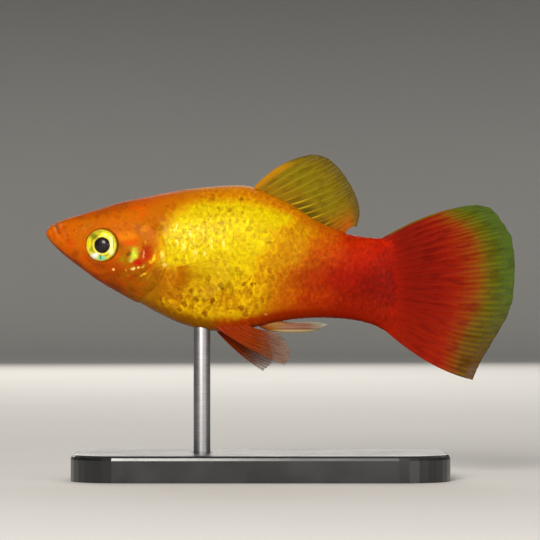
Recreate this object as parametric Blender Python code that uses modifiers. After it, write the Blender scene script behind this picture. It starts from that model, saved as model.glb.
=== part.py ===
"""Male neon marigold platy, a small aquarium fish, as a life-size still model on a plain display stand.

The fish looks along -X with its back up, as it swims, and the stand's underside lies at height 0.
Sizes and places are in millimetres until they reach a mesh, where MM turns them into metres.
"""

import math

import bmesh
import bpy
from mathutils import Vector

MM = 0.001
GAP = 0.3  # between two pieces that meet face to face
CREASE_ANGLE = math.radians(38)  # edges sharper than this stay crisp when a piece is shaded round

# Limits beyond the fish on every side, for the blocks and plates that cut it.
AHEAD = -26.0
BEHIND = 14.0
BESIDE = 12.0
BELOW = 8.0
ABOVE = 34.0

# The body from snout to tail root: place along the fish, height of the back and belly, and half the width.
BODY = (
    (-22.50, 23.50, 23.50, 0.00),
    (-22.20, 24.08, 22.90, 0.68),
    (-21.75, 24.34, 22.36, 1.02),
    (-21.00, 24.72, 21.64, 1.36),
    (-19.66, 25.16, 20.55, 1.82),
    (-17.66, 25.77, 19.06, 2.32),
    (-15.46, 26.46, 17.80, 2.80),
    (-12.59, 27.14, 16.25, 3.26),
    (-9.73, 27.70, 14.86, 3.45),
    (-6.67, 28.00, 14.14, 3.42),
    (-3.52, 28.10, 14.27, 3.20),
    (-1.61, 27.52, 14.70, 3.00),
    (0.78, 26.36, 15.18, 2.64),
    (3.65, 24.62, 15.37, 2.10),
    (6.52, 23.48, 15.22, 1.58),
    (8.62, 23.16, 14.75, 1.14),
    (9.85, 23.00, 14.40, 0.74),
    (10.55, 18.80, 18.80, 0.00),
)
BODY_RINGS = 70
BODY_SEGMENTS = 44
SECTION_STEPS = 40  # sections tried between two stations when one is looked up
LEAST_CORE = 0.3  # share of a section's size that an inset leaves at least
WIDEST_LEVEL = 0.53  # share of the depth, from the belly, at which a section is widest
HEAD_POWER = 2.5  # a section's squareness: 2 is an ellipse, and more is boxier
BODY_POWER = 2.1
HEAD_POWER_END = -19.0
BODY_POWER_START = -9.0

# The mouth opens upwards: its slit leans back from the top of the snout down to the corners.
MOUTH_TOP = Vector((-21.62, 0.0, 24.42))
MOUTH_CORNER = Vector((-21.15, 0.0, 23.35))
MOUTH_WIDTH = 0.22
MOUTH_REACH = 1.5  # how far the slit's cutter stands out of the snout
MOUTH_HALF_BREADTH = 3.0
LIP_OFFSET = 0.30
LIP_SPREAD = 0.16
LIP_RISE = 0.11
LIP_END = 0.35  # the lips fade out this far below the mouth's corners
LIP_FADE = 0.50

EYE = Vector((-17.04, 1.88, 22.36))
EYE_TURN = math.radians(12)  # the eyes look a little forward, square to the head's taper
EYE_RADIUS = 1.58
EYE_DEPTH = 0.98
EYE_POWER = 2.7  # 2 is an ellipsoid, and more is flatter with a rounder rim
LENS_RADIUS = 0.70
LENS_DEPTH = 0.34
LENS_OUT = 0.74
LENS_SHIFT = 0.20  # towards the tail, so that the lens is in the eye's middle as seen from the side

NOSTRIL = (-19.35, 24.0)
NOSTRIL_RADIUS = 0.2

# The free rear edge of the gill cover, which is also where the head ends, from nape to throat.
HEAD_REAR = (
    (-13.2, 29.5),
    (-12.7, 27.2),
    (-12.0, 25.0),
    (-11.3, 23.2),
    (-11.05, 21.4),
    (-11.35, 19.8),
    (-12.3, 18.2),
    (-13.8, 16.7),
    (-16.4, 14.8),
)
COVER_FRONT = (
    (-10.5, 24.1),
    (-12.6, 24.0),
    (-14.3, 23.2),
    (-15.2, 21.6),
    (-15.1, 19.8),
    (-14.2, 18.3),
    (-12.9, 17.6),
    (-11.0, 17.2),
)
COVER_REAR = ((-8.0, 17.2), (-8.0, 24.1))  # behind the free edge, which trims it
COVER_CENTRE = (-12.6, 20.8)
COVER_THICKNESS = 0.75
COVERS_START = 0.5  # a cover begins this far from the fish's middle plane
COVERS_REAR = -5.0
TAIL_ROOT = 6.35  # where the tail stalk begins, just behind the dorsal fin

ROOT_SINK = 0.8  # how deep a fin's roots lie in the body, which then trims them
DORSAL_BASE = (-3.2, -0.2, 3.0, 5.8)
CAUDAL_BASE = 9.1
PECTORAL_BASE = ((-11.0, 20.05), (-10.8, 18.55))
PELVIC_BASE = (-6.9, -3.6)
PELVIC_APART = 0.9
RIDGE_FALL = 0.6  # share of its height that a ray's ridge loses from root to tip

# Each fin is a fan of rays that cross its guide lines: its roots on the body, these middles and these tips.
CAUDAL = {
    "middles": (
        (13.97, 0.10, 25.17),
        (15.20, 0.26, 22.60),
        (15.80, 0.34, 19.00),
        (15.30, 0.22, 14.90),
        (13.80, 0.04, 11.33),
    ),
    "tips": (
        (18.75, 0.22, 26.25),
        (20.15, 0.36, 25.90),
        (21.20, 0.46, 24.76),
        (22.00, 0.50, 23.50),
        (22.42, 0.46, 21.60),
        (22.48, 0.32, 19.60),
        (22.24, 0.10, 17.30),
        (21.50, -0.16, 15.20),
        (20.30, -0.34, 13.20),
        (19.20, -0.40, 11.40),
        (18.36, -0.36, 9.49),
    ),
    "rays": 20,
    "rows": 9,
    "thickness": (0.86, 0.50, 0.34),
    "ridge": 0.32,
}
DORSAL = {
    "middles": (
        (-0.35, 0.0, 29.85),
        (2.00, 0.08, 29.35),
        (3.90, 0.12, 27.60),
        (5.40, 0.08, 25.50),
        (6.45, 0.02, 23.95),
    ),
    "tips": (
        (3.00, 0.06, 31.05),
        (3.85, 0.10, 30.94),
        (4.80, 0.15, 30.45),
        (5.75, 0.20, 29.50),
        (6.55, 0.22, 28.30),
        (7.20, 0.20, 26.97),
        (7.50, 0.14, 25.60),
        (7.30, 0.06, 24.60),
    ),
    "rays": 11,
    "rows": 8,
    "sweep": 0.72,
    "thickness": (0.62, 0.50, 0.32),
    "ridge": 0.28,
}
PECTORAL = {
    "middles": (
        (-8.00, 4.30, 20.70),
        (-7.70, 4.42, 19.70),
        (-8.10, 4.32, 18.80),
        (-8.90, 4.05, 18.05),
    ),
    "tips": (
        (-5.33, 5.20, 21.20),
        (-4.75, 5.45, 20.40),
        (-4.85, 5.50, 19.40),
        (-5.50, 5.35, 18.40),
        (-6.30, 5.10, 17.60),
        (-7.10, 4.90, 17.20),
    ),
    "rays": 11,
    "rows": 7,
    "thickness": (0.56, 0.50, 0.30),
    "ridge": 0.24,
}
PELVIC_LEFT = {
    "middles": ((-3.45, -1.80, 12.75), (-2.80, -1.50, 13.45), (-2.40, -1.15, 14.40)),
    "tips": (
        (0.40, -2.30, 10.87),
        (0.80, -2.20, 11.50),
        (0.85, -2.00, 12.35),
        (0.45, -1.65, 13.25),
        (-0.40, -1.20, 14.15),
    ),
    "rays": 6,
    "rows": 8,
    "thickness": (0.60, 0.50, 0.30),
    "ridge": 0.26,
}
PELVIC_RIGHT = {
    "middles": ((-4.45, 1.75, 12.35), (-3.70, 1.60, 12.90), (-3.00, 1.30, 13.65)),
    "tips": (
        (-1.70, 2.60, 10.25),
        (-1.00, 2.40, 10.90),
        (-0.75, 2.15, 11.70),
        (-0.90, 1.90, 12.50),
        (-1.30, 1.60, 13.15),
    ),
    "rays": 6,
    "rows": 8,
    "thickness": (0.60, 0.50, 0.30),
    "ridge": 0.26,
}
# The male's anal fin is a narrow rod along the belly: place, upper edge, lower edge, half the width.
GONOPODIUM = (
    (-2.60, 15.35, 15.35, 0.00),
    (-2.35, 15.75, 14.75, 0.24),
    (-1.40, 15.60, 14.25, 0.34),
    (-0.20, 15.20, 14.05, 0.36),
    (1.00, 15.02, 13.98, 0.34),
    (2.20, 15.02, 14.04, 0.32),
    (3.40, 15.00, 14.24, 0.28),
    (4.36, 14.76, 14.76, 0.00),
)
GONOPODIUM_RINGS = 22
GONOPODIUM_SEGMENTS = 14

BASE_LENGTH = 36.0
BASE_WIDTH = 17.0
BASE_THICKNESS = 2.6
BASE_CORNER = 5.0
BASE_CORNER_SEGMENTS = 8
BASE_EDGE = 0.5
BASE_EDGE_SEGMENTS = 3
BASE_CENTRE = -2.0
ROD_RADIUS = 0.8
ROD_PLACE = -7.6
ROD_TOP = 16.5  # inside the belly, which trims it
ROD_SOCKET_DEPTH = 1.6
ROD_SOCKET_REACH = 3.0  # how far the socket's cutter stands out of the base


def clear_scene():
    for obj in list(bpy.data.objects):
        bpy.data.objects.remove(obj, do_unlink=True)


def new_collection(name):
    made = bpy.data.collections.new(name)
    bpy.context.scene.collection.children.link(made)
    return made


def material(name, colour, roughness, metallic=0.0):
    made = bpy.data.materials.new(name)
    made.use_nodes = True
    shader = made.node_tree.nodes["Principled BSDF"]
    shader.inputs["Base Color"].default_value = (*colour, 1.0)
    shader.inputs["Roughness"].default_value = roughness
    shader.inputs["Metallic"].default_value = metallic
    return made


def object_from(bm, name, collection, finish=None):
    """A new object that takes over the bmesh, in metres, with its faces pointing out."""
    bm.normal_update()
    bmesh.ops.recalc_face_normals(bm, faces=bm.faces)
    bmesh.ops.scale(bm, vec=(MM, MM, MM), verts=bm.verts)
    mesh = bpy.data.meshes.new(name)
    bm.to_mesh(mesh)
    bm.free()
    obj = bpy.data.objects.new(name, mesh)
    collection.objects.link(obj)
    if finish:
        mesh.materials.append(finish)
    return obj


def bake_modifiers(obj):
    """Gives the object the mesh that its modifiers make, and removes them."""
    bpy.context.view_layer.update()
    shown = obj.evaluated_get(bpy.context.evaluated_depsgraph_get())
    mesh = bpy.data.meshes.new_from_object(shown)
    obj.modifiers.clear()
    obj.data = mesh


def combine(obj, operation, tool):
    """Cuts, joins or intersects the object with a tool, for good."""
    modifier = obj.modifiers.new("combine", "BOOLEAN")
    modifier.operation = operation
    modifier.object = tool
    bake_modifiers(obj)


def copy_of(obj, name, collection, finish):
    made = bpy.data.objects.new(name, obj.data.copy())
    collection.objects.link(made)
    made.data.materials.clear()
    made.data.materials.append(finish)
    return made


def keep_largest_surface(obj):
    """Drops every loose scrap but the closed surface with the most volume."""
    bm = bmesh.new()
    bm.from_mesh(obj.data)
    waiting = set(bm.faces)
    surfaces = []
    while waiting:
        surface = [waiting.pop()]
        for face in surface:
            for edge in face.edges:
                for other in edge.link_faces:
                    if other in waiting:
                        waiting.remove(other)
                        surface.append(other)
        volume = sum(
            face.calc_area() * face.normal.dot(face.calc_center_median()) for face in surface
        )
        surfaces.append((abs(volume), surface))
    surfaces.sort(key=lambda found: found[0])
    scraps = [face for _, surface in surfaces[:-1] for face in surface]
    bmesh.ops.delete(bm, geom=scraps, context="FACES")
    bm.to_mesh(obj.data)
    bm.free()


def shade_round(obj):
    obj.data.shade_smooth()
    obj.data.set_sharp_from_angle(angle=CREASE_ANGLE)


def spline_at(points, share, before=None, after=None):
    """The point at a share of the way, from 0 to 1, on a smooth curve through all the points."""
    spans = len(points) - 1
    place = min(max(share, 0.0), 1.0) * spans
    i = min(int(place), spans - 1)
    f = place - i
    a, b, c, d = (
        points[i - 1] if i else before or [2 * p - q for p, q in zip(points[0], points[1])],
        points[i],
        points[i + 1],
        points[i + 2] if i + 2 <= spans else after or [2 * p - q for p, q in zip(points[-1], points[-2])],
    )
    return [
        0.5 * (2 * q + f * (r - p) + f * f * (2 * p - 5 * q + 4 * r - s) + f**3 * (3 * q - p - 3 * r + s))
        for p, q, r, s in zip(a, b, c, d)
    ]


def section_at(stations, share):
    """Place, back, belly and half width at a share of the stations. Both ends close in a round nose."""
    near, far = stations[1], stations[-2]
    before = (near[0], near[2], near[1], -near[3])
    after = (far[0], far[2], far[1], -far[3])
    return spline_at(stations, share, before, after)


def smooth_step(value):
    value = min(max(value, 0.0), 1.0)
    return value * value * (3 - 2 * value)


def squareness(place):
    """The power of a section's outline: the head is flatter above and the rest more oval."""
    share = smooth_step((place - HEAD_POWER_END) / (BODY_POWER_START - HEAD_POWER_END))
    return HEAD_POWER + (BODY_POWER - HEAD_POWER) * share


def section_point(section, angle, inset=0.0):
    """The point of a section at an angle, 0 on the flank at +Y and a quarter turn at the back."""
    x, top, bottom, half = section
    depth = max(top - bottom - 2 * inset, LEAST_CORE * (top - bottom))
    half = max(half - inset, LEAST_CORE * half)
    low = (top + bottom - depth) / 2
    level = low + WIDEST_LEVEL * depth
    across, up = math.cos(angle), math.sin(angle)
    power = 2 / squareness(x)
    reach = low + depth - level if up > 0 else level - low
    y = half * math.copysign(abs(across) ** power, across)
    z = level + reach * math.copysign(abs(up) ** power, up)
    return Vector((x, y, z))


def loft(stations, rings, segments, inset=0.0):
    """A closed form through the stations, made by reshaping a sphere whose poles are the two ends."""
    bm = bmesh.new()
    bmesh.ops.create_uvsphere(bm, u_segments=segments, v_segments=rings, radius=1.0)
    for vert in bm.verts:
        share = math.acos(max(-1.0, min(1.0, -vert.co.z))) / math.pi
        angle = math.atan2(vert.co.y, vert.co.x)
        vert.co = section_point(section_at(stations, share), angle, inset)
    return bm


def raise_lips(bm):
    """Swells the snout on both sides of the mouth's slit."""
    bm.normal_update()
    down = (MOUTH_CORNER - MOUTH_TOP).normalized()
    away = Vector((-down.z, 0.0, down.x))
    for vert in bm.verts:
        offset = abs((vert.co - MOUTH_TOP).dot(away)) - LIP_OFFSET
        fade = smooth_step((vert.co.z - MOUTH_CORNER.z + LIP_END) / LIP_FADE)
        vert.co += vert.normal * LIP_RISE * fade * math.exp(-((offset / LIP_SPREAD) ** 2))


def body_form(name, collection, inset=0.0):
    """The whole body from snout to tail root. A negative inset swells it evenly."""
    bm = loft(BODY, BODY_RINGS, BODY_SEGMENTS, max(inset, 0.0))
    raise_lips(bm)
    if inset < 0:
        bm.normal_update()
        for vert in bm.verts:
            vert.co -= vert.normal * inset
    return object_from(bm, name, collection)


def section_near(place):
    """The body's section at a place along the fish."""
    spans = len(BODY) * SECTION_STEPS
    return min(
        (section_at(BODY, i / spans) for i in range(spans + 1)),
        key=lambda found: abs(found[0] - place),
    )


def flank_at(place, height):
    """Half the body's width at a place along the fish and a height."""
    _, top, bottom, half = section_near(place)
    level = bottom + WIDEST_LEVEL * (top - bottom)
    reach = top - level if height > level else level - bottom
    rise = min(abs(height - level) / reach, 1.0)
    power = squareness(place)
    return half * (1 - rise**power) ** (1 / power)


def prism(name, outline, collection, half_depth=BESIDE):
    """A plate across the fish whose side view is a closed outline of places and heights."""
    curve = bpy.data.curves.new(name, "CURVE")
    curve.dimensions = "2D"
    curve.fill_mode = "BOTH"
    curve.extrude = half_depth * MM
    spline = curve.splines.new("POLY")
    spline.points.add(len(outline) - 1)
    for point, (x, z) in zip(spline.points, outline):
        point.co = (x * MM, z * MM, 0.0, 1.0)
    spline.use_cyclic_u = True
    drawn = bpy.data.objects.new(name + "_outline", curve)
    collection.objects.link(drawn)
    drawn.rotation_euler.x = math.pi / 2
    bpy.context.view_layer.update()
    shown = drawn.evaluated_get(bpy.context.evaluated_depsgraph_get())
    mesh = bpy.data.meshes.new_from_object(shown)
    mesh.transform(drawn.matrix_world)
    bpy.data.objects.remove(drawn)
    bm = bmesh.new()
    bm.from_mesh(mesh)
    bmesh.ops.remove_doubles(bm, verts=bm.verts, dist=0.00001)
    bmesh.ops.recalc_face_normals(bm, faces=bm.faces)
    bm.to_mesh(mesh)
    bm.free()
    made = bpy.data.objects.new(name, mesh)
    collection.objects.link(made)
    return made


def smooth_line(points, count):
    return [spline_at(points, i / (count - 1)) for i in range(count)]


def shifted(line, x, z=0.0):
    return [(px + x, pz + z) for px, pz in line]


def box_between(name, low, high, collection):
    bm = bmesh.new()
    bmesh.ops.create_cube(bm, size=1.0)
    for vert in bm.verts:
        vert.co = [a + (b - a) * (c + 0.5) for a, b, c in zip(low, high, vert.co)]
    return object_from(bm, name, collection)


def button(name, place, radius, depth, collection, finish=None, power=2.0, segments=28):
    """A ball flattened along its own Y, which is also the line through its poles, put in its place."""
    bm = bmesh.new()
    bmesh.ops.create_uvsphere(bm, u_segments=segments, v_segments=segments // 2, radius=1.0)
    for vert in bm.verts:
        around = Vector((vert.co.x, vert.co.y))
        out = around.length ** (2 / power)
        along = math.copysign(abs(vert.co.z) ** (2 / power), vert.co.z)
        around = around.normalized() * out * radius
        vert.co = (around.x, -along * depth, around.y)
    made = object_from(bm, name, collection, finish)
    made.location = Vector(place) * MM
    return made


def head_volume(name, extra, cutters):
    """Everything in front of the gill covers' free edge, moved back by the extra."""
    rear = shifted(smooth_line(HEAD_REAR, 25), extra)
    return prism(name, [(AHEAD, ABOVE), *rear, (AHEAD, BELOW)], cutters)


def cover_volume(name, extra, cutters):
    """The side view of a gill cover, which runs past the head's rear edge, grown by the extra."""
    grown = []
    for x, z in smooth_line(COVER_FRONT, 25):
        away = Vector((x - COVER_CENTRE[0], z - COVER_CENTRE[1])).normalized()
        grown.append((x + away.x * extra, z + away.y * extra))
    return prism(name, [*grown, *COVER_REAR], cutters)


def mouth_slit(cutters):
    """A thin block that opens the mouth from the top of the snout down to its corners."""
    down = (MOUTH_CORNER - MOUTH_TOP).normalized()
    away = Vector((-down.z, 0.0, down.x)) * MOUTH_WIDTH / 2
    top = MOUTH_TOP - down * MOUTH_REACH
    outline = [(p.x, p.z) for p in (top - away, top + away, MOUTH_CORNER + away, MOUTH_CORNER - away)]
    return prism("mouth_slit", outline, cutters, MOUTH_HALF_BREADTH)


def build_eyes(parts, cutters, head, finish):
    """Both eyeballs, each with its lens standing out a little, and their sockets in the head."""
    for side, name in ((-1, "eye_left"), (1, "eye_right")):
        centre = Vector((EYE.x, side * EYE.y, EYE.z))
        outward = Vector((-math.sin(EYE_TURN), side * math.cos(EYE_TURN), 0.0))
        rearward = Vector((math.cos(EYE_TURN), side * math.sin(EYE_TURN), 0.0))
        eye = button(name, centre, EYE_RADIUS, EYE_DEPTH, parts, finish, EYE_POWER)
        lens_centre = centre + outward * LENS_OUT + rearward * LENS_SHIFT
        lens = button(name + "_lens", lens_centre, LENS_RADIUS, LENS_DEPTH, cutters, segments=16)
        socket = button(
            name + "_socket", centre, EYE_RADIUS + GAP, EYE_DEPTH + GAP, cutters, power=EYE_POWER
        )
        for piece in (eye, lens, socket):
            piece.rotation_euler.z = side * EYE_TURN
        combine(eye, "UNION", lens)
        keep_largest_surface(eye)
        shade_round(eye)
        combine(head, "DIFFERENCE", socket)


def build_gill_covers(parts, cutters, head, body_within, body_deeper, finish):
    """A curved plate on each cheek, and the recess in the head that it lies in."""
    plate = cover_volume("cover_plate", 0.0, cutters)
    recess = cover_volume("cover_recess", GAP, cutters)
    combine(recess, "DIFFERENCE", body_deeper)
    for side, name in ((-1, "gill_cover_left"), (1, "gill_cover_right")):
        cover = copy_of(head, name, parts, finish)
        low, high = sorted((side * COVERS_START, side * BESIDE))
        half_space = box_between(name + "_side", (AHEAD, low, BELOW), (COVERS_REAR, high, ABOVE), cutters)
        combine(cover, "INTERSECT", plate)
        combine(cover, "INTERSECT", half_space)
        combine(cover, "DIFFERENCE", body_within)
        keep_largest_surface(cover)
        shade_round(cover)
    combine(head, "DIFFERENCE", recess)


def build_flesh(parts, cutters, head_finish, torso_finish, tail_finish, eye_finish):
    """Head, gill covers, eyes, torso and tail, all parted from one body by thin cuts."""
    whole = body_form("whole_body", cutters)
    within = body_form("body_within", cutters, COVER_THICKNESS)
    deeper = body_form("body_deeper", cutters, COVER_THICKNESS + GAP)

    head = copy_of(whole, "head", parts, head_finish)
    combine(head, "INTERSECT", head_volume("head_front", 0.0, cutters))
    build_gill_covers(parts, cutters, head, within, deeper, head_finish)
    combine(head, "DIFFERENCE", mouth_slit(cutters))
    for side in (-1, 1):
        x, z = NOSTRIL
        centre = (x, side * flank_at(x, z), z)
        pit = button(f"nostril_{side}", centre, NOSTRIL_RADIUS, NOSTRIL_RADIUS, cutters, segments=12)
        combine(head, "DIFFERENCE", pit)
    build_eyes(parts, cutters, head, eye_finish)
    keep_largest_surface(head)
    shade_round(head)

    torso = copy_of(whole, "torso", parts, torso_finish)
    combine(torso, "DIFFERENCE", head_volume("head_space", GAP, cutters))
    low, high = (AHEAD, -BESIDE, BELOW), (TAIL_ROOT, BESIDE, ABOVE)
    combine(torso, "INTERSECT", box_between("torso_span", low, high, cutters))
    keep_largest_surface(torso)
    shade_round(torso)

    tail = copy_of(whole, "tail", parts, tail_finish)
    low, high = (TAIL_ROOT + GAP, -BESIDE, BELOW), (BEHIND, BESIDE, ABOVE)
    combine(tail, "INTERSECT", box_between("tail_span", low, high, cutters))
    keep_largest_surface(tail)
    shade_round(tail)


def dorsal_roots():
    return [(x, 0.0, section_near(x)[1] - ROOT_SINK) for x in DORSAL_BASE]


def caudal_roots():
    _, top, bottom, _ = section_near(CAUDAL_BASE)
    edge = ROOT_SINK / 2
    return [(CAUDAL_BASE, 0.0, z) for z in (top - edge, (top + bottom) / 2, bottom + edge)]


def pectoral_roots():
    return [(x, flank_at(x, z) - ROOT_SINK, z) for x, z in PECTORAL_BASE]


def pelvic_roots(side):
    return [(x, side * PELVIC_APART, section_near(x)[2] + ROOT_SINK) for x in PELVIC_BASE]


def build_fin(name, fin, roots, parts, body_clear, finish, mirror=1):
    """A fan of rays, each a ridge in the membrane's own surface, trimmed to stand on the body."""
    bm = bmesh.new()
    columns = 2 * (fin["rays"] - 1)
    bmesh.ops.create_grid(bm, x_segments=columns, y_segments=fin["rows"], size=1.0)
    thickest = max(fin["thickness"]) + fin["ridge"]
    weights = []
    for vert in bm.verts:
        across, out = (vert.co.x + 1) / 2, (vert.co.y + 1) / 2
        swept = across ** fin.get("sweep", 1.0)
        root = Vector(spline_at(roots, across))
        middle = Vector(spline_at(fin["middles"], swept))
        tip = Vector(spline_at(fin["tips"], swept))
        point = (
            root * (2 * out - 1) * (out - 1) + middle * 4 * out * (1 - out) + tip * out * (2 * out - 1)
        )
        vert.co = (point.x, point.y * mirror, point.z)
        on_ray = round(across * columns) % 2 == 0
        thickness = spline_at([(t,) for t in fin["thickness"]], out)[0]
        thickness += fin["ridge"] * on_ray * (1 - RIDGE_FALL * out)
        weights.append(thickness / thickest)
    bmesh.ops.triangulate(bm, faces=bm.faces)
    obj = object_from(bm, name, parts, finish)
    group = obj.vertex_groups.new(name="thickness")
    for index, weight in enumerate(weights):
        group.add([index], weight, "REPLACE")
    solid = obj.modifiers.new("solid", "SOLIDIFY")
    solid.thickness = thickest * MM
    solid.offset = 0.0
    solid.vertex_group = group.name
    bake_modifiers(obj)
    combine(obj, "DIFFERENCE", body_clear)
    keep_largest_surface(obj)
    shade_round(obj)


def build_gonopodium(parts, body_clear, finish):
    bm = loft(GONOPODIUM, GONOPODIUM_RINGS, GONOPODIUM_SEGMENTS)
    obj = object_from(bm, "gonopodium", parts, finish)
    combine(obj, "DIFFERENCE", body_clear)
    keep_largest_surface(obj)
    shade_round(obj)


def upright_cylinder(name, radius, low, high, collection, finish=None):
    bm = bmesh.new()
    bmesh.ops.create_cone(
        bm, cap_ends=True, segments=28, radius1=radius, radius2=radius, depth=high - low
    )
    bmesh.ops.translate(bm, vec=(ROD_PLACE, 0.0, (low + high) / 2), verts=bm.verts)
    return object_from(bm, name, collection, finish)


def round_edges(bm, edges, radius, segments):
    bmesh.ops.bevel(
        bm, geom=edges, offset=radius, segments=segments, profile=0.5, affect="EDGES", material=-1
    )


def build_stand(parts, cutters, body_clear, base_finish, rod_finish):
    """A flat base with rounded corners, and one rod that stands in it and meets the belly."""
    bm = bmesh.new()
    bmesh.ops.create_cube(bm, size=1.0)
    bmesh.ops.scale(bm, vec=(BASE_LENGTH, BASE_WIDTH, BASE_THICKNESS), verts=bm.verts)
    bmesh.ops.translate(bm, vec=(BASE_CENTRE, 0.0, BASE_THICKNESS / 2), verts=bm.verts)
    upright = [edge for edge in bm.edges if abs(edge.verts[0].co.z - edge.verts[1].co.z) > 1.0]
    round_edges(bm, upright, BASE_CORNER, BASE_CORNER_SEGMENTS)
    top = max(bm.faces, key=lambda face: face.calc_center_median().z)
    round_edges(bm, list(top.edges), BASE_EDGE, BASE_EDGE_SEGMENTS)
    base = object_from(bm, "stand_base", parts, base_finish)
    floor = BASE_THICKNESS - ROD_SOCKET_DEPTH
    mouth = BASE_THICKNESS + ROD_SOCKET_REACH
    socket = upright_cylinder("rod_socket", ROD_RADIUS + GAP, floor, mouth, cutters)
    combine(base, "DIFFERENCE", socket)
    shade_round(base)
    rod = upright_cylinder("stand_rod", ROD_RADIUS, floor + GAP, ROD_TOP, parts, rod_finish)
    combine(rod, "DIFFERENCE", body_clear)
    keep_largest_surface(rod)
    shade_round(rod)


def hide_cutters(cutters):
    for obj in cutters.objects:
        obj.hide_render = True
        obj.display_type = "WIRE"


clear_scene()
HEAD_FINISH = material("orange_skin", (0.80, 0.24, 0.02), 0.4)
FLANK_FINISH = material("yellow_skin", (0.85, 0.55, 0.03), 0.35)
TAIL_FINISH = material("red_skin", (0.62, 0.06, 0.01), 0.4)
RED_FIN_FINISH = material("red_fin", (0.50, 0.04, 0.01), 0.45)
OLIVE_FIN_FINISH = material("olive_fin", (0.42, 0.34, 0.05), 0.45)
CLEAR_FIN_FINISH = material("clear_fin", (0.72, 0.42, 0.22), 0.4)
PALE_FIN_FINISH = material("pale_fin", (0.62, 0.52, 0.42), 0.4)
EYE_FINISH = material("eye_gold", (0.75, 0.70, 0.15), 0.15)
BASE_FINISH = material("stand_black", (0.03, 0.03, 0.035), 0.35)
ROD_FINISH = material("stand_steel", (0.60, 0.60, 0.62), 0.25, 1.0)

platy = new_collection("platy")
helpers = new_collection("helpers")
build_flesh(platy, helpers, HEAD_FINISH, FLANK_FINISH, TAIL_FINISH, EYE_FINISH)
clearance = body_form("body_clearance", helpers, -GAP)
build_fin("caudal_fin", CAUDAL, caudal_roots(), platy, clearance, RED_FIN_FINISH)
build_fin("dorsal_fin", DORSAL, dorsal_roots(), platy, clearance, OLIVE_FIN_FINISH)
build_fin("pectoral_fin_left", PECTORAL, pectoral_roots(), platy, clearance, CLEAR_FIN_FINISH, -1)
build_fin("pectoral_fin_right", PECTORAL, pectoral_roots(), platy, clearance, CLEAR_FIN_FINISH)
build_fin("pelvic_fin_left", PELVIC_LEFT, pelvic_roots(-1), platy, clearance, CLEAR_FIN_FINISH)
build_fin("pelvic_fin_right", PELVIC_RIGHT, pelvic_roots(1), platy, clearance, CLEAR_FIN_FINISH)
build_gonopodium(platy, clearance, PALE_FIN_FINISH)
build_stand(platy, helpers, clearance, BASE_FINISH, ROD_FINISH)
hide_cutters(helpers)
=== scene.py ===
"""Looks of a male neon marigold platy, life size, on a plain display stand.

Sizes and places are in millimetres until they reach a mesh, where MM turns them into metres.
The fish looks along -X, its left side faces -Y and the camera, and the floor is at height 0.
"""

import math
import random

import bmesh
import bpy
from mathutils import Matrix, Vector, noise


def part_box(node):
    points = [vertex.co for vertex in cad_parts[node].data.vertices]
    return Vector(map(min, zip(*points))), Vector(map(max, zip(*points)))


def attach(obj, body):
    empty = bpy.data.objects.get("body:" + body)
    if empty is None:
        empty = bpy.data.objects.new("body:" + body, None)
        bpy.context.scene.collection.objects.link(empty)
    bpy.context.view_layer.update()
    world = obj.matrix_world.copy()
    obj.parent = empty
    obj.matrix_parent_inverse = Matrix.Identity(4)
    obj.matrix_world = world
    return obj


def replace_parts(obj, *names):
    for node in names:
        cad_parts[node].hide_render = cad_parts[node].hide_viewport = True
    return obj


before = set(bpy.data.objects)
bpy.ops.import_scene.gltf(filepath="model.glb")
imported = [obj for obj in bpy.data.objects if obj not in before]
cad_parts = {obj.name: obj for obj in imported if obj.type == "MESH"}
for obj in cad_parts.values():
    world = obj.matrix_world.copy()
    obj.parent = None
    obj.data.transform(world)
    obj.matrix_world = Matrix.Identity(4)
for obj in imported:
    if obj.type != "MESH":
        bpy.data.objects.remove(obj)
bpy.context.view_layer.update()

MM = 0.001

# The body from snout to tail root: place along the fish, heights of back and belly, and half the width.
BODY = (
    (-22.50, 23.50, 23.50, 0.00),
    (-22.20, 24.08, 22.90, 0.68),
    (-21.75, 24.34, 22.36, 1.02),
    (-21.00, 24.72, 21.64, 1.36),
    (-19.66, 25.16, 20.55, 1.82),
    (-17.66, 25.77, 19.06, 2.32),
    (-15.46, 26.46, 17.80, 2.80),
    (-12.59, 27.14, 16.25, 3.26),
    (-9.73, 27.70, 14.86, 3.45),
    (-6.67, 28.00, 14.14, 3.42),
    (-3.52, 28.10, 14.27, 3.20),
    (-1.61, 27.52, 14.70, 3.00),
    (0.78, 26.36, 15.18, 2.64),
    (3.65, 24.62, 15.37, 2.10),
    (6.52, 23.48, 15.22, 1.58),
    (8.62, 23.16, 14.75, 1.14),
    (9.70, 23.18, 14.16, 0.82),
    (10.70, 23.46, 13.70, 0.46),
    (11.50, 23.20, 14.00, 0.14),
    (11.90, 18.70, 18.70, 0.00),
)
WIDEST_LEVEL = 0.53  # share of the depth, from the belly, at which a section is widest
HEAD_POWER = 2.5  # a section's squareness: 2 is an ellipse, and more is boxier
BODY_POWER = 2.1
HEAD_POWER_END = -19.0
BODY_POWER_START = -9.0
COAT_DEPTH = 0.12  # the skin lies this deep under the scales
SKIN_RINGS = 350
SKIN_SEGMENTS = 216
HEAD_SPANS = 8  # spans of BODY that the head takes, with most of the skin's rings
HEAD_RING_SHARE = 0.66

MOUTH_TOP = Vector((-21.62, 0.0, 24.42))
MOUTH_CORNER = Vector((-21.15, 0.0, 23.35))
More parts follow.
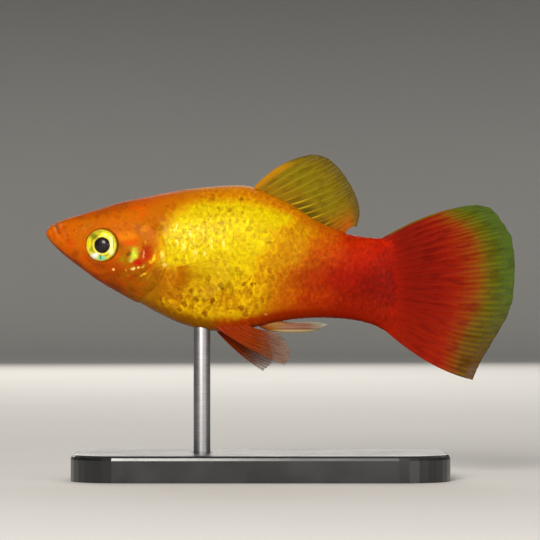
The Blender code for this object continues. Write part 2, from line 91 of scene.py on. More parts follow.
# Folds of the skin: distance from the slit, from the eye's middle or down the throat, half the width, height.
MOUTH_SLIT = ((0.0, 0.055, -0.26),)
LIP_FOLDS = ((0.27, 0.15, 0.07), (-0.30, 0.17, 0.07), (-0.66, 0.14, -0.04), (0.62, 0.12, -0.04))
EYE_FOLDS = ((1.74, 0.15, 0.06), (2.10, 0.15, -0.02))
CHEEK_FOLDS = ((2.72, 0.22, 0.03), (3.02, 0.14, -0.035))
THROAT_FOLDS = ((-0.35, 0.07, -0.035), (0.15, 0.07, -0.035), (0.65, 0.07, -0.035))
NOSTRILS = ((-19.80, 23.80, 0.13), (-19.10, 24.25, 0.17))  # place, height and radius
NOSTRIL_DEPTH = 0.16
NOSTRIL_RIM = 0.03
SOCKET_DEPTH = 0.60  # how deep the skin dips behind the eyeball

EYE = Vector((-17.04, 1.88, 22.36))
EYE_TURN = math.radians(12)
EYE_RADIUS = 1.58
EYE_DEPTH = 0.98
EYE_POWER = 2.7  # the eyeball's squareness as seen from above
PUPIL_SHIFT = 0.20  # towards the tail, so that the pupil sits in the middle of the eye as seen from the side
LENS_RISE = 0.17
LENS_RADIUS = 0.74
IRIS_SINK = 0.06

# The free rear edge of the gill cover, from nape to throat, and the outline of its bony plate.
HEAD_REAR = (
    (-13.2, 29.5),
    (-12.7, 27.2),
    (-12.0, 25.0),
    (-11.3, 23.2),
    (-11.05, 21.4),
    (-11.35, 19.8),
    (-12.3, 18.2),
    (-13.8, 16.7),
    (-16.4, 14.8),
)
PLATE_FRONT = ((-12.3, 24.7), (-13.9, 23.7), (-15.0, 21.9), (-15.05, 20.0), (-14.3, 18.5), (-13.1, 17.3))
PLATE_REAR = ((-12.0, 24.7), (-11.25, 23.2), (-10.9, 21.5), (-11.15, 19.8), (-12.0, 18.3), (-12.9, 17.3))
PLATE_SINK = 0.16  # how deep the plate's front and ends lie under the skin
PLATE_THICKNESS = 0.11

SCALE_STEP = 0.78  # from one scale to the next along the body
SCALE_STEP_TAIL = 0.64
ROW_STEP = 0.75  # from one row of scales to the next, where the body is deepest
DEEPEST_PLACE = -6.0
SCALES_START = -16.0
SCALE_END = 9.9  # where the last scales are rooted at the widest level; above and below they end sooner
SCALE_END_CURVE = 0.055
TAIL_MIDDLE = 18.7  # the height of the middle of the tail's root
SCALE_OVERLAP = 1.8  # a scale's length, in steps
SCALE_THICKNESS = 0.035
SCALE_HALF_WIDTH = 0.98  # in steps between rows
ROOT_WIDENING = 0.1  # how much wider a scale's root is
SCALE_SINK = 0.04  # how deep the root lies in the skin
SCALE_LIFT = 0.085  # how far a scale's free edge stands above its root
SCALE_BULGE = 0.03
SCALE_STRAY = 0.06  # how far chance moves a scale along the body
SCALE_TILT = 0.012  # how far chance lifts its free edge
LAST_STRAY = 0.4  # how uneven the end of the coat is
FIRST_SCALES = 0.9  # the first scales are rooted this far in front of the gill cover's edge
BAKE_PATCH = 0.003  # a scale's size on the map for baking, as a share of the map

ROOT_SINK = 0.8  # how deep the fins' roots lie in the body
DORSAL_BASE = (-3.2, -0.2, 3.0, 5.8)
CAUDAL_BASE = 9.1
PECTORAL_BASE = ((-11.0, 20.05), (-10.8, 18.55))
PELVIC_BASE = (-6.9, -3.6)
PELVIC_APART = 0.9  # from the body's middle to the root of each pelvic fin

# Each fin is a fan of rays that cross its guide lines: its roots on the body, these middles and these tips.
# fork: how far out the rays fork. base, film and ridge: the thickness that the root adds, of the film and
# of the rays on it. flesh: how far out the thick root reaches. notch: how deep the margin is cut between
# the rays. sweep: under 1, the front rays spread wider than the rear ones.
CAUDAL = {
    "middles": (
        (13.97, 0.10, 25.17), (15.20, 0.26, 22.60), (15.80, 0.34, 19.00), (15.30, 0.22, 14.90),
        (13.80, 0.04, 11.33),
    ),
    "tips": (
        (18.75, 0.22, 26.25), (20.15, 0.36, 25.90), (21.20, 0.46, 24.76), (22.00, 0.50, 23.50),
        (22.42, 0.46, 21.60), (22.48, 0.32, 19.60), (22.24, 0.10, 17.30), (21.50, -0.16, 15.20),
        (20.30, -0.34, 13.20), (19.20, -0.40, 11.40), (18.36, -0.36, 9.49),
    ),
    "rays": 20,
    "fork": 0.42,
    "base": 1.10,
    "flesh": 0.20,
    "film": 0.10,
    "ridge": 0.10,
    "notch": 0.002,
}
DORSAL = {
    "middles": (
        (-0.35, 0.0, 29.85), (2.00, 0.08, 29.35), (3.90, 0.12, 27.60), (5.40, 0.08, 25.50),
        (6.45, 0.02, 23.95),
    ),
    "tips": (
        (3.00, 0.06, 31.05), (3.85, 0.10, 30.94), (4.80, 0.15, 30.45), (5.75, 0.20, 29.50),
        (6.55, 0.22, 28.30), (7.20, 0.20, 26.97), (7.50, 0.14, 25.60), (7.25, 0.05, 24.15),
    ),
    "rays": 15,
    "sweep": 0.62,
    "fork": 0.45,
    "base": 0.55,
    "film": 0.08,
    "ridge": 0.08,
    "notch": 0.002,
}
PECTORAL = {
    "middles": (
        (-8.00, 4.30, 20.70), (-7.70, 4.42, 19.70), (-8.10, 4.32, 18.80), (-8.90, 4.05, 18.05),
    ),
    "tips": (
        (-5.33, 5.20, 21.20), (-4.75, 5.45, 20.40), (-4.85, 5.50, 19.40), (-5.50, 5.35, 18.40),
        (-6.30, 5.10, 17.60), (-7.10, 4.90, 17.20),
    ),
    "rays": 11,
    "fork": 0.55,
    "base": 0.34,
    "film": 0.07,
    "ridge": 0.10,
    "notch": 0.010,
}
PELVIC_LEFT = {
    "middles": ((-3.45, -1.80, 12.75), (-2.80, -1.50, 13.45), (-2.40, -1.15, 14.40)),
    "tips": (
        (0.40, -2.30, 10.87), (0.80, -2.20, 11.50), (0.85, -2.00, 12.35), (0.45, -1.65, 13.25),
        (-0.40, -1.20, 14.15),
    ),
    "rays": 7,
    "fork": 0.50,
    "base": 0.50,
    "film": 0.09,
    "ridge": 0.14,
    "notch": 0.008,
}
PELVIC_RIGHT = {
    **PELVIC_LEFT,
    "middles": ((-4.45, 1.75, 12.35), (-3.70, 1.60, 12.90), (-3.00, 1.30, 13.65)),
    "tips": (
        (-1.70, 2.60, 10.25), (-1.00, 2.40, 10.90), (-0.75, 2.15, 11.70), (-0.90, 1.90, 12.50),
        (-1.30, 1.60, 13.15),
    ),
}
RAY_COLUMNS = 12  # columns of faces from one ray to the next
RAY_WIDTH = 0.11  # half a ray's width, as a share of the way to the next
RIDGE_FALL = 0.6  # share of its height that a ray's ridge loses from root to tip
RIPPLE = 0.05  # how far the film waves to either side
RIPPLE_RAYS = 2.6  # the rays that one wave takes
MARGIN_STRAY = 0.012  # how uneven the margin is, as a share of a ray's length
# The male's anal fin is a narrow rod along the belly: place, upper edge, lower edge, half the width.
GONOPODIUM = (
    (-2.60, 15.35, 15.35, 0.00),
    (-2.35, 15.75, 14.75, 0.24),
    (-1.40, 15.60, 14.25, 0.34),
    (-0.20, 15.20, 14.05, 0.36),
    (1.00, 15.02, 13.98, 0.34),
    (2.20, 15.02, 14.04, 0.32),
    (3.40, 15.00, 14.24, 0.28),
    (4.36, 14.76, 14.76, 0.00),
)
ROD_GROOVES = ((14.62, 0.07, -0.05), (14.30, 0.05, -0.035))  # place up the rod, half the width and height

ROD_RADIUS = 0.8
ROD_PLACE = -7.6
ROD_TOP = 14.7

PAINT = {
    "lip": "D06208",
    "snout": "C25E03",
    "head": "C26403",
    "brow": "A84E03",
    "crown": "C45604",
    "nape": "C06A03",
    "saddle": "CC7C04",
    "cheek": "B26203",
    "gold": "D4BC04",
    "ochre": "CC9606",
    "pale gold": "FFF058",
    "amber": "D29E04",
    "honey": "C08404",
    "orange": "BC6603",
    "rust": "B64E03",
    "brick": "B43C03",
    "brick red": "A22C03",
    "scarlet": "AC2402",
    "red": "AC1C02",
    "crimson": "A01802",
    "wine": "901402",
    "chin": "AC4C03",
    "throat": "963F03",
    "gullet": "803603",
    "bronze": "945B03",
    "ember": "AC3C03",
    "maroon": "8A1802",
}
# The paint at places along the fish, in four bands from the back down. Each passes smoothly into the next.
# The low flank and belly bands are darker partly from the fish's own colour and partly as painted shade on
# the underside.
BACK = {
    -22.5: "snout", -18.3: "brow", -15.4: "crown", -12.5: "nape", -10.0: "saddle", -2.0: "saddle",
    1.8: "orange", 3.7: "rust", 6.0: "scarlet", 9.5: "red",
}
FLANK = {
    -22.5: "lip", -20.5: "snout", -15.4: "head", -12.7: "cheek", -11.5: "amber", -10.4: "gold",
    -2.2: "gold", -1.0: "amber", -0.2: "honey", 1.0: "honey", 2.4: "orange", 3.8: "rust",
    5.0: "brick", 6.5: "scarlet", 8.2: "red", 9.4: "crimson", 10.6: "wine",
}
LOW_FLANK = {
    -22.5: "snout", -18.0: "chin", -15.8: "throat", -13.4: "bronze", -9.6: "ochre", -1.2: "ochre",
    1.2: "honey", 3.0: "orange", 5.3: "ember", 7.0: "brick red", 9.4: "maroon",
}
BELLY = {
    -22.5: "throat", -17.5: "throat", -15.8: "gullet", -13.4: "bronze", -6.8: "bronze",
    -5.6: "ember", 10.0: "maroon",
}
# The eye's paint by the distance from the middle of the pupil.
IRIS = {
    0.0: "181016", 0.74: "1E1412", 0.78: "F0E038", 0.90: "FFF46A", 0.98: "D2C010",
    1.10: "A89608", 1.22: "F2E41A", 1.40: "F8F050", 1.51: "C0B020", 1.60: "5A4208",
}
# The anal fin's paint along it.
PALE_ROD = {
    -2.6: "8C2E04", -1.5: "964008", -0.7: "94641C", 0.6: "82543A", 2.4: "784830", 3.6: "88806C",
    4.4: "A0A898",
}

# Bright and dark spots in the side view: centre, half sizes, turn in degrees, paint and strength. The palest
# spots near the gill cover's edge are painted highlights, and the broad dark spot behind the cover is painted
# shade.
SPOTS = (
    ((-18.50, 23.60), (1.00, 1.10), 0, "A46404", 0.5),
    ((-15.15, 21.95), (0.50, 1.00), 0, "985A04", 0.7),
    ((-12.40, 23.00), (0.95, 1.10), 0, "BA6804", 0.6),
    ((-13.40, 20.80), (1.20, 1.10), 0, "904804", 0.55),
    ((-13.50, 21.95), (0.35, 0.30), 0, "D88A18", 0.6),
    ((-14.60, 23.20), (0.95, 0.45), 0, "E88A0A", 0.6),
    ((-13.00, 23.95), (0.50, 0.35), 30, "DC8A0C", 0.5),
    ((-14.40, 22.45), (0.80, 0.30), -15, "E0500C", 0.5),
    ((-14.85, 21.00), (0.50, 0.42), 0, "948208", 0.6),
    ((-14.42, 21.52), (0.30, 0.24), 0, "4C4A08", 0.8),
    ((-14.15, 22.15), (0.45, 0.16), 20, "8C9210", 0.7),
    ((-13.96, 21.50), (0.36, 0.58), -14, "D2E440", 0.95),
    ((-14.25, 20.92), (0.24, 0.24), 0, "B8D058", 0.7),
    ((-13.62, 20.70), (0.52, 0.34), 20, "B01408", 0.9),
    ((-12.78, 21.60), (0.55, 0.85), -10, "AC1E04", 0.75),
    ((-13.05, 21.52), (0.12, 0.38), -8, "F49468", 0.85),
    ((-12.90, 22.62), (0.10, 0.22), 0, "F0A030", 0.6),
    ((-12.10, 21.10), (0.14, 0.46), -18, "F4D430", 0.9),
    ((-12.40, 20.72), (0.16, 0.20), 30, "F0C428", 0.7),
    # Painted highlights: pale glints near the gill cover's edge.
    ((-11.28, 21.35), (0.20, 0.56), 5, "FFF060", 0.7),
    ((-11.12, 20.42), (0.19, 0.24), 0, "FFEE84", 0.85),
    ((-11.40, 24.05), (0.24, 0.30), 0, "8C5C04", 0.6),
    ((-15.98, 20.02), (0.13, 0.13), 0, "FFC068", 0.9),
    ((-14.75, 19.95), (0.10, 0.12), 0, "D8962C", 0.6),
    ((-14.62, 19.45), (0.12, 0.10), 0, "D08C28", 0.6),
    ((-14.12, 20.10), (0.20, 0.13), 0, "FFE488", 0.9),
    ((-13.60, 20.22), (0.16, 0.10), 20, "FFD468", 0.8),
    ((-13.20, 20.32), (0.20, 0.09), 28, "F6C838", 0.7),
    ((-13.10, 19.58), (0.34, 0.11), 28, "F4BC28", 0.8),
    ((-12.92, 20.02), (0.62, 0.06), 34, "6A3404", 0.7),
    ((-12.62, 19.35), (0.42, 0.07), 52, "D8A020", 0.5),
    ((-14.40, 19.30), (0.60, 0.30), 0, "982A04", 0.5),
    ((-20.10, 22.70), (0.45, 0.32), 0, "CC3C04", 0.45),
    # Painted shade behind the gill cover's free edge.
    ((-11.75, 18.70), (0.95, 2.10), 0, "8C5203", 0.75),
    ((-13.60, 18.30), (1.10, 1.20), 0, "944A03", 0.5),
    ((-10.20, 19.20), (1.65, 1.30), 0, "B06A04", 0.9),
    ((-10.70, 17.55), (1.80, 0.90), 0, "AC6804", 0.8),
    ((-10.60, 18.70), (0.35, 0.30), 0, "C88C08", 0.6),
    ((-1.50, 15.80), (0.14, 0.12), 0, "E09C4C", 0.8),
    ((-21.55, 23.98), (0.16, 0.34), 0, "C08858", 0.5),
    ((-21.08, 24.28), (0.18, 0.22), 0, "D07A48", 0.4),
)
# Small spots that share a paint: centre, half sizes, turn in degrees and strength.
FLECKS = {
    "8E6004": (
        ((-6.60, 26.73), (0.22, 0.16), 0, 0.75),
        ((-5.97, 25.92), (0.20, 0.17), 0, 0.60),
        ((-4.92, 25.73), (0.24, 0.20), 30, 0.65),
        ((-3.87, 26.73), (0.24, 0.20), 40, 0.90),
        ((-3.68, 25.45), (0.17, 0.15), 0, 0.60),
        ((-1.10, 22.60), (0.30, 0.15), 0, 0.70),
        ((-9.94, 20.96), (0.26, 0.22), 0, 0.50),
        ((-1.09, 17.60), (0.20, 0.45), 0, 0.60),
    ),
    "887404": (
        ((-8.05, 17.25), (0.36, 0.32), 0, 0.50),
        ((-6.99, 18.70), (0.42, 0.32), 0, 0.55),
        ((-5.71, 18.52), (0.48, 0.30), 25, 0.60),
        ((-4.61, 18.34), (0.32, 0.32), 0, 0.55),
        ((-4.06, 19.44), (0.26, 0.32), 0, 0.35),
    ),
    "ECB20C": (
        ((-10.40, 17.00), (0.45, 0.18), -20, 0.8),
        ((-9.50, 16.60), (0.30, 0.16), 0, 0.8),
        ((-8.45, 16.20), (0.26, 0.14), 10, 0.8),
        ((-6.00, 15.98), (0.26, 0.20), 0, 0.9),
        ((-4.80, 16.10), (0.34, 0.12), 15, 0.8),
        ((-3.30, 15.90), (0.50, 0.13), 0, 0.8),
    ),
    "FFE61C": (
        ((-8.27, 17.80), (0.20, 0.24), 0, 0.6),
        ((-5.89, 19.75), (0.28, 0.16), 15, 0.8),
        ((-5.16, 24.10), (0.15, 0.15), 0, 0.8),
        ((-3.24, 24.56), (0.12, 0.24), 0, 0.7),
        ((-1.78, 22.54), (0.18, 0.26), 35, 0.8),
    ),
    # Painted highlights: pale glints of shining scales on the upper flank.
    "FFF270": (
        ((-10.00, 24.00), (0.13, 0.42), -25, 0.80),
        ((-9.91, 22.64), (0.12, 0.30), 0, 0.75),
        ((-9.18, 22.27), (0.14, 0.28), 30, 0.75),
        ((-8.63, 23.37), (0.13, 0.34), 5, 0.80),
        ((-8.27, 21.72), (0.22, 0.20), 0, 0.85),
        ((-7.90, 23.95), (0.18, 0.18), 0, 0.60),
        ((-7.26, 21.54), (0.17, 0.22), 0, 0.70),
        ((-6.62, 22.82), (0.13, 0.24), 25, 0.65),
        ((-5.52, 22.45), (0.13, 0.46), 8, 0.70),
    ),
}
# Glints and rings on the iris, round the middle of the pupil.
IRIS_SPOTS = (
    ((0.95, 0.05), (0.16, 0.85), 0, "FFFBC0", 0.9),
    ((0.92, -0.62), (0.30, 0.40), 45, "FFFFB0", 0.8),
    ((-0.72, -1.02), (0.42, 0.26), 30, "F4FFF4", 1.0),
    ((0.02, -1.22), (0.42, 0.20), 0, "78E8BC", 1.0),
    ((-0.12, -1.14), (0.09, 0.24), 20, "1E7A3C", 0.9),
    ((-1.05, -0.35), (0.16, 0.30), -10, "8A9A10", 0.7),
    ((-0.78, 0.86), (0.34, 0.40), 45, "6C6604", 0.8),
    ((-0.20, 1.24), (0.50, 0.18), 0, "A8A010", 0.7),
    ((0.42, 1.20), (0.42, 0.20), 10, "F4E210", 0.8),
    ((-1.26, 0.20), (0.18, 0.50), 0, "FFEC18", 0.9),
    ((1.18, 0.22), (0.08, 0.45), 0, "8E8C0C", 0.8),
)
SHINE = ((-7.6, 22.6), (2.9, 2.2), 0)  # where the flank's pale gold streaks are painted as highlights of shining scales
FIN_SHADE = ((-10.2, 19.3), (1.9, 1.3), 0)  # behind the pectoral fin's root, where no scale shows by itself

# Each fin's finish. film: the paints by ripeness. rays: the paint of the rays, inner and outer. lit: how much
# of it shows. shade: how dark it is between the rays at the root and at the margin, and its paint. rear: the
# paint and share of the hind part's root and of its margin. alpha: how solid the fin is at its root, at its
# margin and between the rays there, and the ripeness from which that falls. rim: the paint and share of the
# front edge. streaks: the paint and share of the dark streaks at the middle rays' roots.
FIN_LOOKS = {
    "caudal": {
        "film": {
            0.0: "A41A02", 0.12: "9C1702", 0.26: "861202", 0.38: "7C1002", 0.60: "801002", 0.80: "8A1802",
            0.97: "862E03", 1.10: "784604", 1.30: "5E5206", 1.60: "4A5C08", 2.00: "466012",
        },
        "rays": ("962603", "8A780A"),
        "lit": 0.22,
        "shade": (0.12, 0.16, "A87048"),
        "rear": (("9C2002", 0.4), ("5C3404", 0.95)),
        "alpha": (1.0, 0.82, 0.90, 1.35),
    },
    "dorsal": {
        "film": {0.0: "B06804", 0.10: "947004", 0.4: "847404", 0.75: "766006", 1.0: "5E4E10"},
        "rays": ("928406", "82780E"),
        "lit": 0.25,
        "shade": (0.30, 0.14, "8C7C34"),
        "rear": (("AC5404", 0.95), ("744208", 1.0)),
        "alpha": (1.0, 0.78, 0.92, 0.55),
        "rim": ("B8780C", 0.7),
        "streaks": ("463C02", 0.85),
    },
    "pectoral": {
        "film": {0.0: "DC8006", 0.30: "D48406", 0.6: "D8A410", 1.0: "DCB830"},
        "rays": ("E0A414", "E0B424"),
        "lit": 0.6,
        "shade": (0.1, 0.2, "A87048"),
        "rear": (("D09C10", 0.0), ("D09C10", 0.0)),
        "alpha": (0.66, 0.22, 0.4, 0.08),
    },
    "pelvic": {
        "film": {0.0: "902802", 0.35: "8C2E02", 0.6: "843403", 0.8: "784424", 1.0: "866850"},
        "rays": ("943C10", "B08C74"),
        "lit": 0.5,
        "shade": (0.12, 0.30, "A87048"),
        "rear": (("8C3002", 0.4), ("74380C", 0.4)),
        "alpha": (1.0, 0.58, 0.48, 0.50),
    },
}

SKY_COLOUR = (1.0, 0.97, 0.92, 1.0)
SKY_STRENGTH = 0.27
LIGHT_COLOUR = (1.0, 0.96, 0.90)
LIGHT_AIM = (0.0, 0.0, 0.02)
LIGHTS = {  # place, size and power, in metres and watts
    "key": ((-0.08, -0.40, 0.17), 0.14, 1.65),
    "fill": ((0.26, -0.34, 0.03), 0.24, 0.65),
    "rim": ((0.10, 0.32, 0.30), 0.24, 0.3),
    "back": ((-0.06, 0.46, 0.20), 0.30, 0.6),
}
CAMERA_PLACE = (-0.0011, -0.4300, 0.020)  # metres; it looks level, straight at the fish's left side
CAMERA_LENS = 300


def paint(code):
    """A linear colour from a named paint or a six-digit web colour."""
    code = PAINT.get(code, code)
    channels = [int(code[i : i + 2], 16) / 255 for i in (0, 2, 4)]
    return (*[c / 12.92 if c <= 0.04045 else ((c + 0.055) / 1.055) ** 2.4 for c in channels], 1.0)


def smooth_step(value, low=0.0, high=1.0):
    value = min(max((value - low) / (high - low), 0.0), 1.0)
    return value * value * (3 - 2 * value)


def bell(value, width):
    return math.exp(-((value / width) ** 2))


def folds(value, shapes):
    """The height of round folds at a value. Each has its place, half its width and its height."""
    return sum(height * bell(value - place, half) for place, half, height in shapes)


def spline_at(points, share, before=None, after=None):
    """The point at a share of the way, from 0 to 1, on a smooth curve through all the points."""
    spans = len(points) - 1
    place = min(max(share, 0.0), 1.0) * spans
    i = min(int(place), spans - 1)
    f = place - i
    a, b, c, d = (
        points[i - 1] if i else before or [2 * p - q for p, q in zip(points[0], points[1])],
        points[i],
        points[i + 1],
        points[i + 2] if i + 2 <= spans else after or [2 * p - q for p, q in zip(points[-1], points[-2])],
    )
    return [
        0.5 * (2 * q + f * (r - p) + f * f * (2 * p - 5 * q + 4 * r - s) + f**3 * (3 * q - p - 3 * r + s))
        for p, q, r, s in zip(a, b, c, d)
    ]


def section_at(stations, share):
    """Place, back, belly and half width at a share of the stations. Both ends close in a round nose."""
    near, far = stations[1], stations[-2]
    before = (near[0], near[2], near[1], -near[3])
    after = (far[0], far[2], far[1], -far[3])
    return spline_at(stations, share, before, after)


def squareness(place):
    return HEAD_POWER + (BODY_POWER - HEAD_POWER) * smooth_step(place, HEAD_POWER_END, BODY_POWER_START)


def section_point(section, angle):
    """The point of a section at an angle, 0 on the flank at +Y and a quarter turn at the back."""
    x, top, bottom, half = section
    level = bottom + WIDEST_LEVEL * (top - bottom)
    across, up = math.cos(angle), math.sin(angle)
    power = 2 / squareness(x)
    reach = top - level if up > 0 else level - bottom
    y = half * math.copysign(abs(across) ** power, across)
    z = level + reach * math.copysign(abs(up) ** power, up)
    return Vector((x, y, z))


class BodySurface:
    """The body as a map: a place along it and a distance round it, from the flank line, give a point."""

    STEPS = 900
    TURNS = 40

    def __init__(self):
        self.sections = [section_at(BODY, i / self.STEPS) for i in range(self.STEPS + 1)]
        self.known_arcs = {}

    def index(self, place):
        low, high = 0, self.STEPS
        while high - low > 1:
            middle = (low + high) // 2
            if self.sections[middle][0] < place:
                low = middle
            else:
                high = middle
        return low

    def section(self, place):
        i = self.index(place)
        a, b = self.sections[i], self.sections[i + 1]
        f = min(max((place - a[0]) / max(b[0] - a[0], 0.000001), 0.0), 1.0)
        return [p + (q - p) * f for p, q in zip(a, b)]

    def arcs(self, place, sign):
        """Distances from the flank line up to the back, or with -1 down to the belly, at equal angles."""
        i = self.index(place)
        if (i, sign) not in self.known_arcs:
            last = section_point(self.sections[i], 0.0)
            total = [0.0]
            for turn in range(1, self.TURNS + 1):
                point = section_point(self.sections[i], sign * turn / self.TURNS * math.pi / 2)
                total.append(total[-1] + (point - last).length)
                last = point
            self.known_arcs[i, sign] = total
        return self.known_arcs[i, sign]

    def angle(self, place, arc):
        """The angle at a distance round the section. Past the back or belly it runs on to the other side."""
        sign = 1 if arc > 0 else -1
        total = self.arcs(place, sign)
        wanted = abs(arc)
        if wanted > total[-1]:
            return sign * math.pi - self.angle(place, sign * (2 * total[-1] - wanted))
        turn = next(k for k in range(1, len(total)) if total[k] >= wanted)
        f = (wanted - total[turn - 1]) / max(total[turn] - total[turn - 1], 0.000001)
        return sign * (turn - 1 + f) / self.TURNS * math.pi / 2

    def point(self, place, angle):
        return section_point(self.section(place), angle)

    def normal(self, place, angle):
        step = 0.03
        around = self.point(place, angle + step) - self.point(place, angle - step)
        along = self.point(place + step, angle) - self.point(place - step, angle)
        return around.cross(along).normalized()

    def rise(self, point):
        """How high a point is between the belly, 0, and the back, 1."""
        _, top, bottom, _ = self.section(point.x)
        return min(max((point.z - bottom) / max(top - bottom, 0.01), 0.0), 1.0)

    def flank(self, place, height):
        """Half the body's width at a place along the fish and a height."""
        _, top, bottom, half = self.section(place)
        level = bottom + WIDEST_LEVEL * (top - bottom)
        reach = top - level if height > level else level - bottom
        rise = min(abs(height - level) / reach, 1.0)
        power = squareness(place)
        return half * (1 - rise**power) ** (1 / power)


SURFACE = BodySurface()


def gill_edge(height):
    """Where along the fish the gill cover's free edge is at a height."""
    for (xa, za), (xb, zb) in zip(HEAD_REAR, HEAD_REAR[1:]):
        if height >= zb:
            return xa + (xb - xa) * min(max((za - height) / (za - zb), 0.0), 1.0)
    return HEAD_REAR[-1][0]


def turn_outwards(bm):
    bm.normal_update()
    bmesh.ops.recalc_face_normals(bm, faces=bm.faces)
    bm.normal_update()


def in_scene(name, data):
    made = bpy.data.objects.new(name, data)
    bpy.context.scene.collection.objects.link(made)
    return made


def shown(bm, name, material, sharp_from=0):
    """An object that takes over a bmesh, in metres, and is shaded round.

    Edges whose faces meet at more than sharp_from degrees, if that is given, stay crisp.
    """
    bmesh.ops.scale(bm, vec=(MM, MM, MM), verts=bm.verts)
    mesh = bpy.data.meshes.new(name)
    bm.to_mesh(mesh)
    bm.free()
    mesh.shade_smooth()
    if sharp_from:
        mesh.set_sharp_from_angle(angle=math.radians(sharp_from))
    mesh.materials.append(material)
    return in_scene(name, mesh)


def finished(bm, name, material, sharp_from=0):
    """A piece of the model, which rides on the body and takes the finish that it is given."""
    piece = shown(bm, name, material, sharp_from)
    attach(piece, "root")
    return piece


class Value:
    """What a node puts out. Numbers take abs, +, - and * as plain numbers do."""

    def __init__(self, wiring, socket):
        self.wiring = wiring
        self.socket = socket

    def __abs__(self):
        return self.wiring.math("ABSOLUTE", self)

    def __add__(self, other):
        return self.wiring.math("ADD", self, other)

    def __sub__(self, other):
        return self.wiring.math("SUBTRACT", self, other)

    def __rsub__(self, other):
        return self.wiring.math("SUBTRACT", other, self)

    def __mul__(self, other):
        return self.wiring.math("MULTIPLY", self, other)


class Wiring:
    """A node tree being wired, with one short method for each kind of node that the finishes use.

    A node is made after those that feed it. In another order the many spots overfill a shader's memory.
    """

    def __init__(self, tree):
        self.tree = tree

    def add(self, kind, **settings):
        node = self.tree.nodes.new("ShaderNode" + kind)
        for name, value in settings.items():
            setattr(node, name, value)
        return node

    def join(self, value, socket):
        """Links a node's output to the socket, or sets the socket to a plain value."""
        if isinstance(value, Value):
            self.tree.links.new(value.socket, socket)
        else:
            socket.default_value = value

    def fed(self, node, values, output=0):
        """What a node puts out once the values are joined to its first inputs."""
        for value, socket in zip(values, node.inputs):
            self.join(value, socket)
        return Value(self, node.outputs[output])

    def outputs(self, node):
        return {socket.name: Value(self, socket) for socket in node.outputs}

    def math(self, operation, *values, clamp=False):
        return self.fed(self.add("Math", operation=operation, use_clamp=clamp), values)

    def vector(self, operation, *values):
        return self.fed(self.add("VectorMath", operation=operation), values)

    def length(self, vector):
        return self.fed(self.add("VectorMath", operation="LENGTH"), [vector], "Value")

    def sized(self, vector, factor):
        node = self.add("VectorMath", operation="SCALE")
        self.join(factor, node.inputs["Scale"])
        return self.fed(node, [vector])

    def parts(self, vector):
        node = self.add("SeparateXYZ")
        self.join(vector, node.inputs[0])
        return self.outputs(node).values()

    def together(self, x, y, z):
        return self.fed(self.add("CombineXYZ"), (x, y, z))

    def fade(self, value, start, end, first=0.0, last=1.0):
        """Turns smoothly from the first number to the last between two values."""
        node = self.add("MapRange", interpolation_type="SMOOTHSTEP")
        return self.fed(node, (value, start, end, first, last))

    def mix(self, factor, a, b, blend="MIX"):
        node = self.add("Mix", data_type="RGBA", blend_type=blend)
        self.join(factor, node.inputs[0])
        for colour, socket in ((a, node.inputs[6]), (b, node.inputs[7])):
            self.join(paint(colour) if isinstance(colour, str) else colour, socket)
        return Value(self, node.outputs[2])

    def ramp(self, value, stops):
        """A colour that passes through the paints of a dictionary at the values that are its keys."""
        first, *_, last = stops
        share = self.fed(self.add("MapRange"), (value, first, last))
        node = self.add("ValToRGB")
        elements = node.color_ramp.elements
        for _ in range(len(stops) - 2):
            elements.new(0.5)
        for element, (place, colour) in zip(elements, stops.items()):
            element.position = (place - first) / (last - first)
            element.color = paint(colour)
        return self.fed(node, [share])

    def noise(self, place, scale, detail=2.0, roughness=0.5, output=0):
        node = self.add("TexNoise")
        self.join(place, node.inputs["Vector"])
        node.inputs["Scale"].default_value = scale
        node.inputs["Detail"].default_value = detail
        node.inputs["Roughness"].default_value = roughness
        return Value(self, node.outputs[output])

    def drawn_out(self, place, height, *settings):
        """Noise that is longer upwards, by a height under 1."""
        return self.noise(self.vector("MULTIPLY", place, (1.0, 1.0, height)), *settings)

    def warped(self, place, scale, amount):
        """The place pushed about by noise, so that what is drawn there gets an uneven outline."""
        push = self.vector("SUBTRACT", self.noise(place, scale, 3.0, output="Color"), (0.5, 0.5, 0.5))
        return self.vector("ADD", place, self.sized(push, amount))

    def attribute(self, name, output="Fac"):
        return Value(self, self.add("Attribute", attribute_name=name).outputs[output])

    def millimetres(self):
        """The place on the piece, in millimetres."""
        return self.sized(Value(self, self.add("TexCoord").outputs["Object"]), 1 / MM)

    def group(self, tree, **values):
        """A node group's outputs by name. A name among the values is an input's in small letters."""
        node = self.add("Group", node_tree=tree)
        for name, value in values.items():
            self.join(value, node.inputs[name.capitalize()])
        return self.outputs(node)

    def bump(self, height, strength, distance):
        """A normal from a height, with the distance in millimetres."""
        node = self.add("Bump")
        self.join(height, node.inputs["Height"])
        node.inputs["Strength"].default_value = strength
        node.inputs["Distance"].default_value = distance * MM
        return Value(self, node.outputs[0])


def new_group(name, inputs, outputs):
    """An empty node group: its wiring, what its input node gives and the sockets of its output node."""
    tree = bpy.data.node_groups.new(name, "ShaderNodeTree")
    for sockets, direction in ((inputs, "INPUT"), (outputs, "OUTPUT")):
        for socket_name, kind in sockets.items():
            tree.interface.new_socket(socket_name, in_out=direction, socket_type="NodeSocket" + kind)
    w = Wiring(tree)
    given = w.outputs(tree.nodes.new("NodeGroupInput"))
    return w, given, tree.nodes.new("NodeGroupOutput").inputs


def new_material(name, **values):
    """A material with a Principled BSDF set to plain values: itself, its wiring and the shader's sockets."""
    made = bpy.data.materials.new(name)
    made.use_nodes = True
    shader = made.node_tree.nodes["Principled BSDF"]
    for socket, value in values.items():
        shader.inputs[socket.replace("_", " ")].default_value = value
    return made, Wiring(made.node_tree), shader.inputs


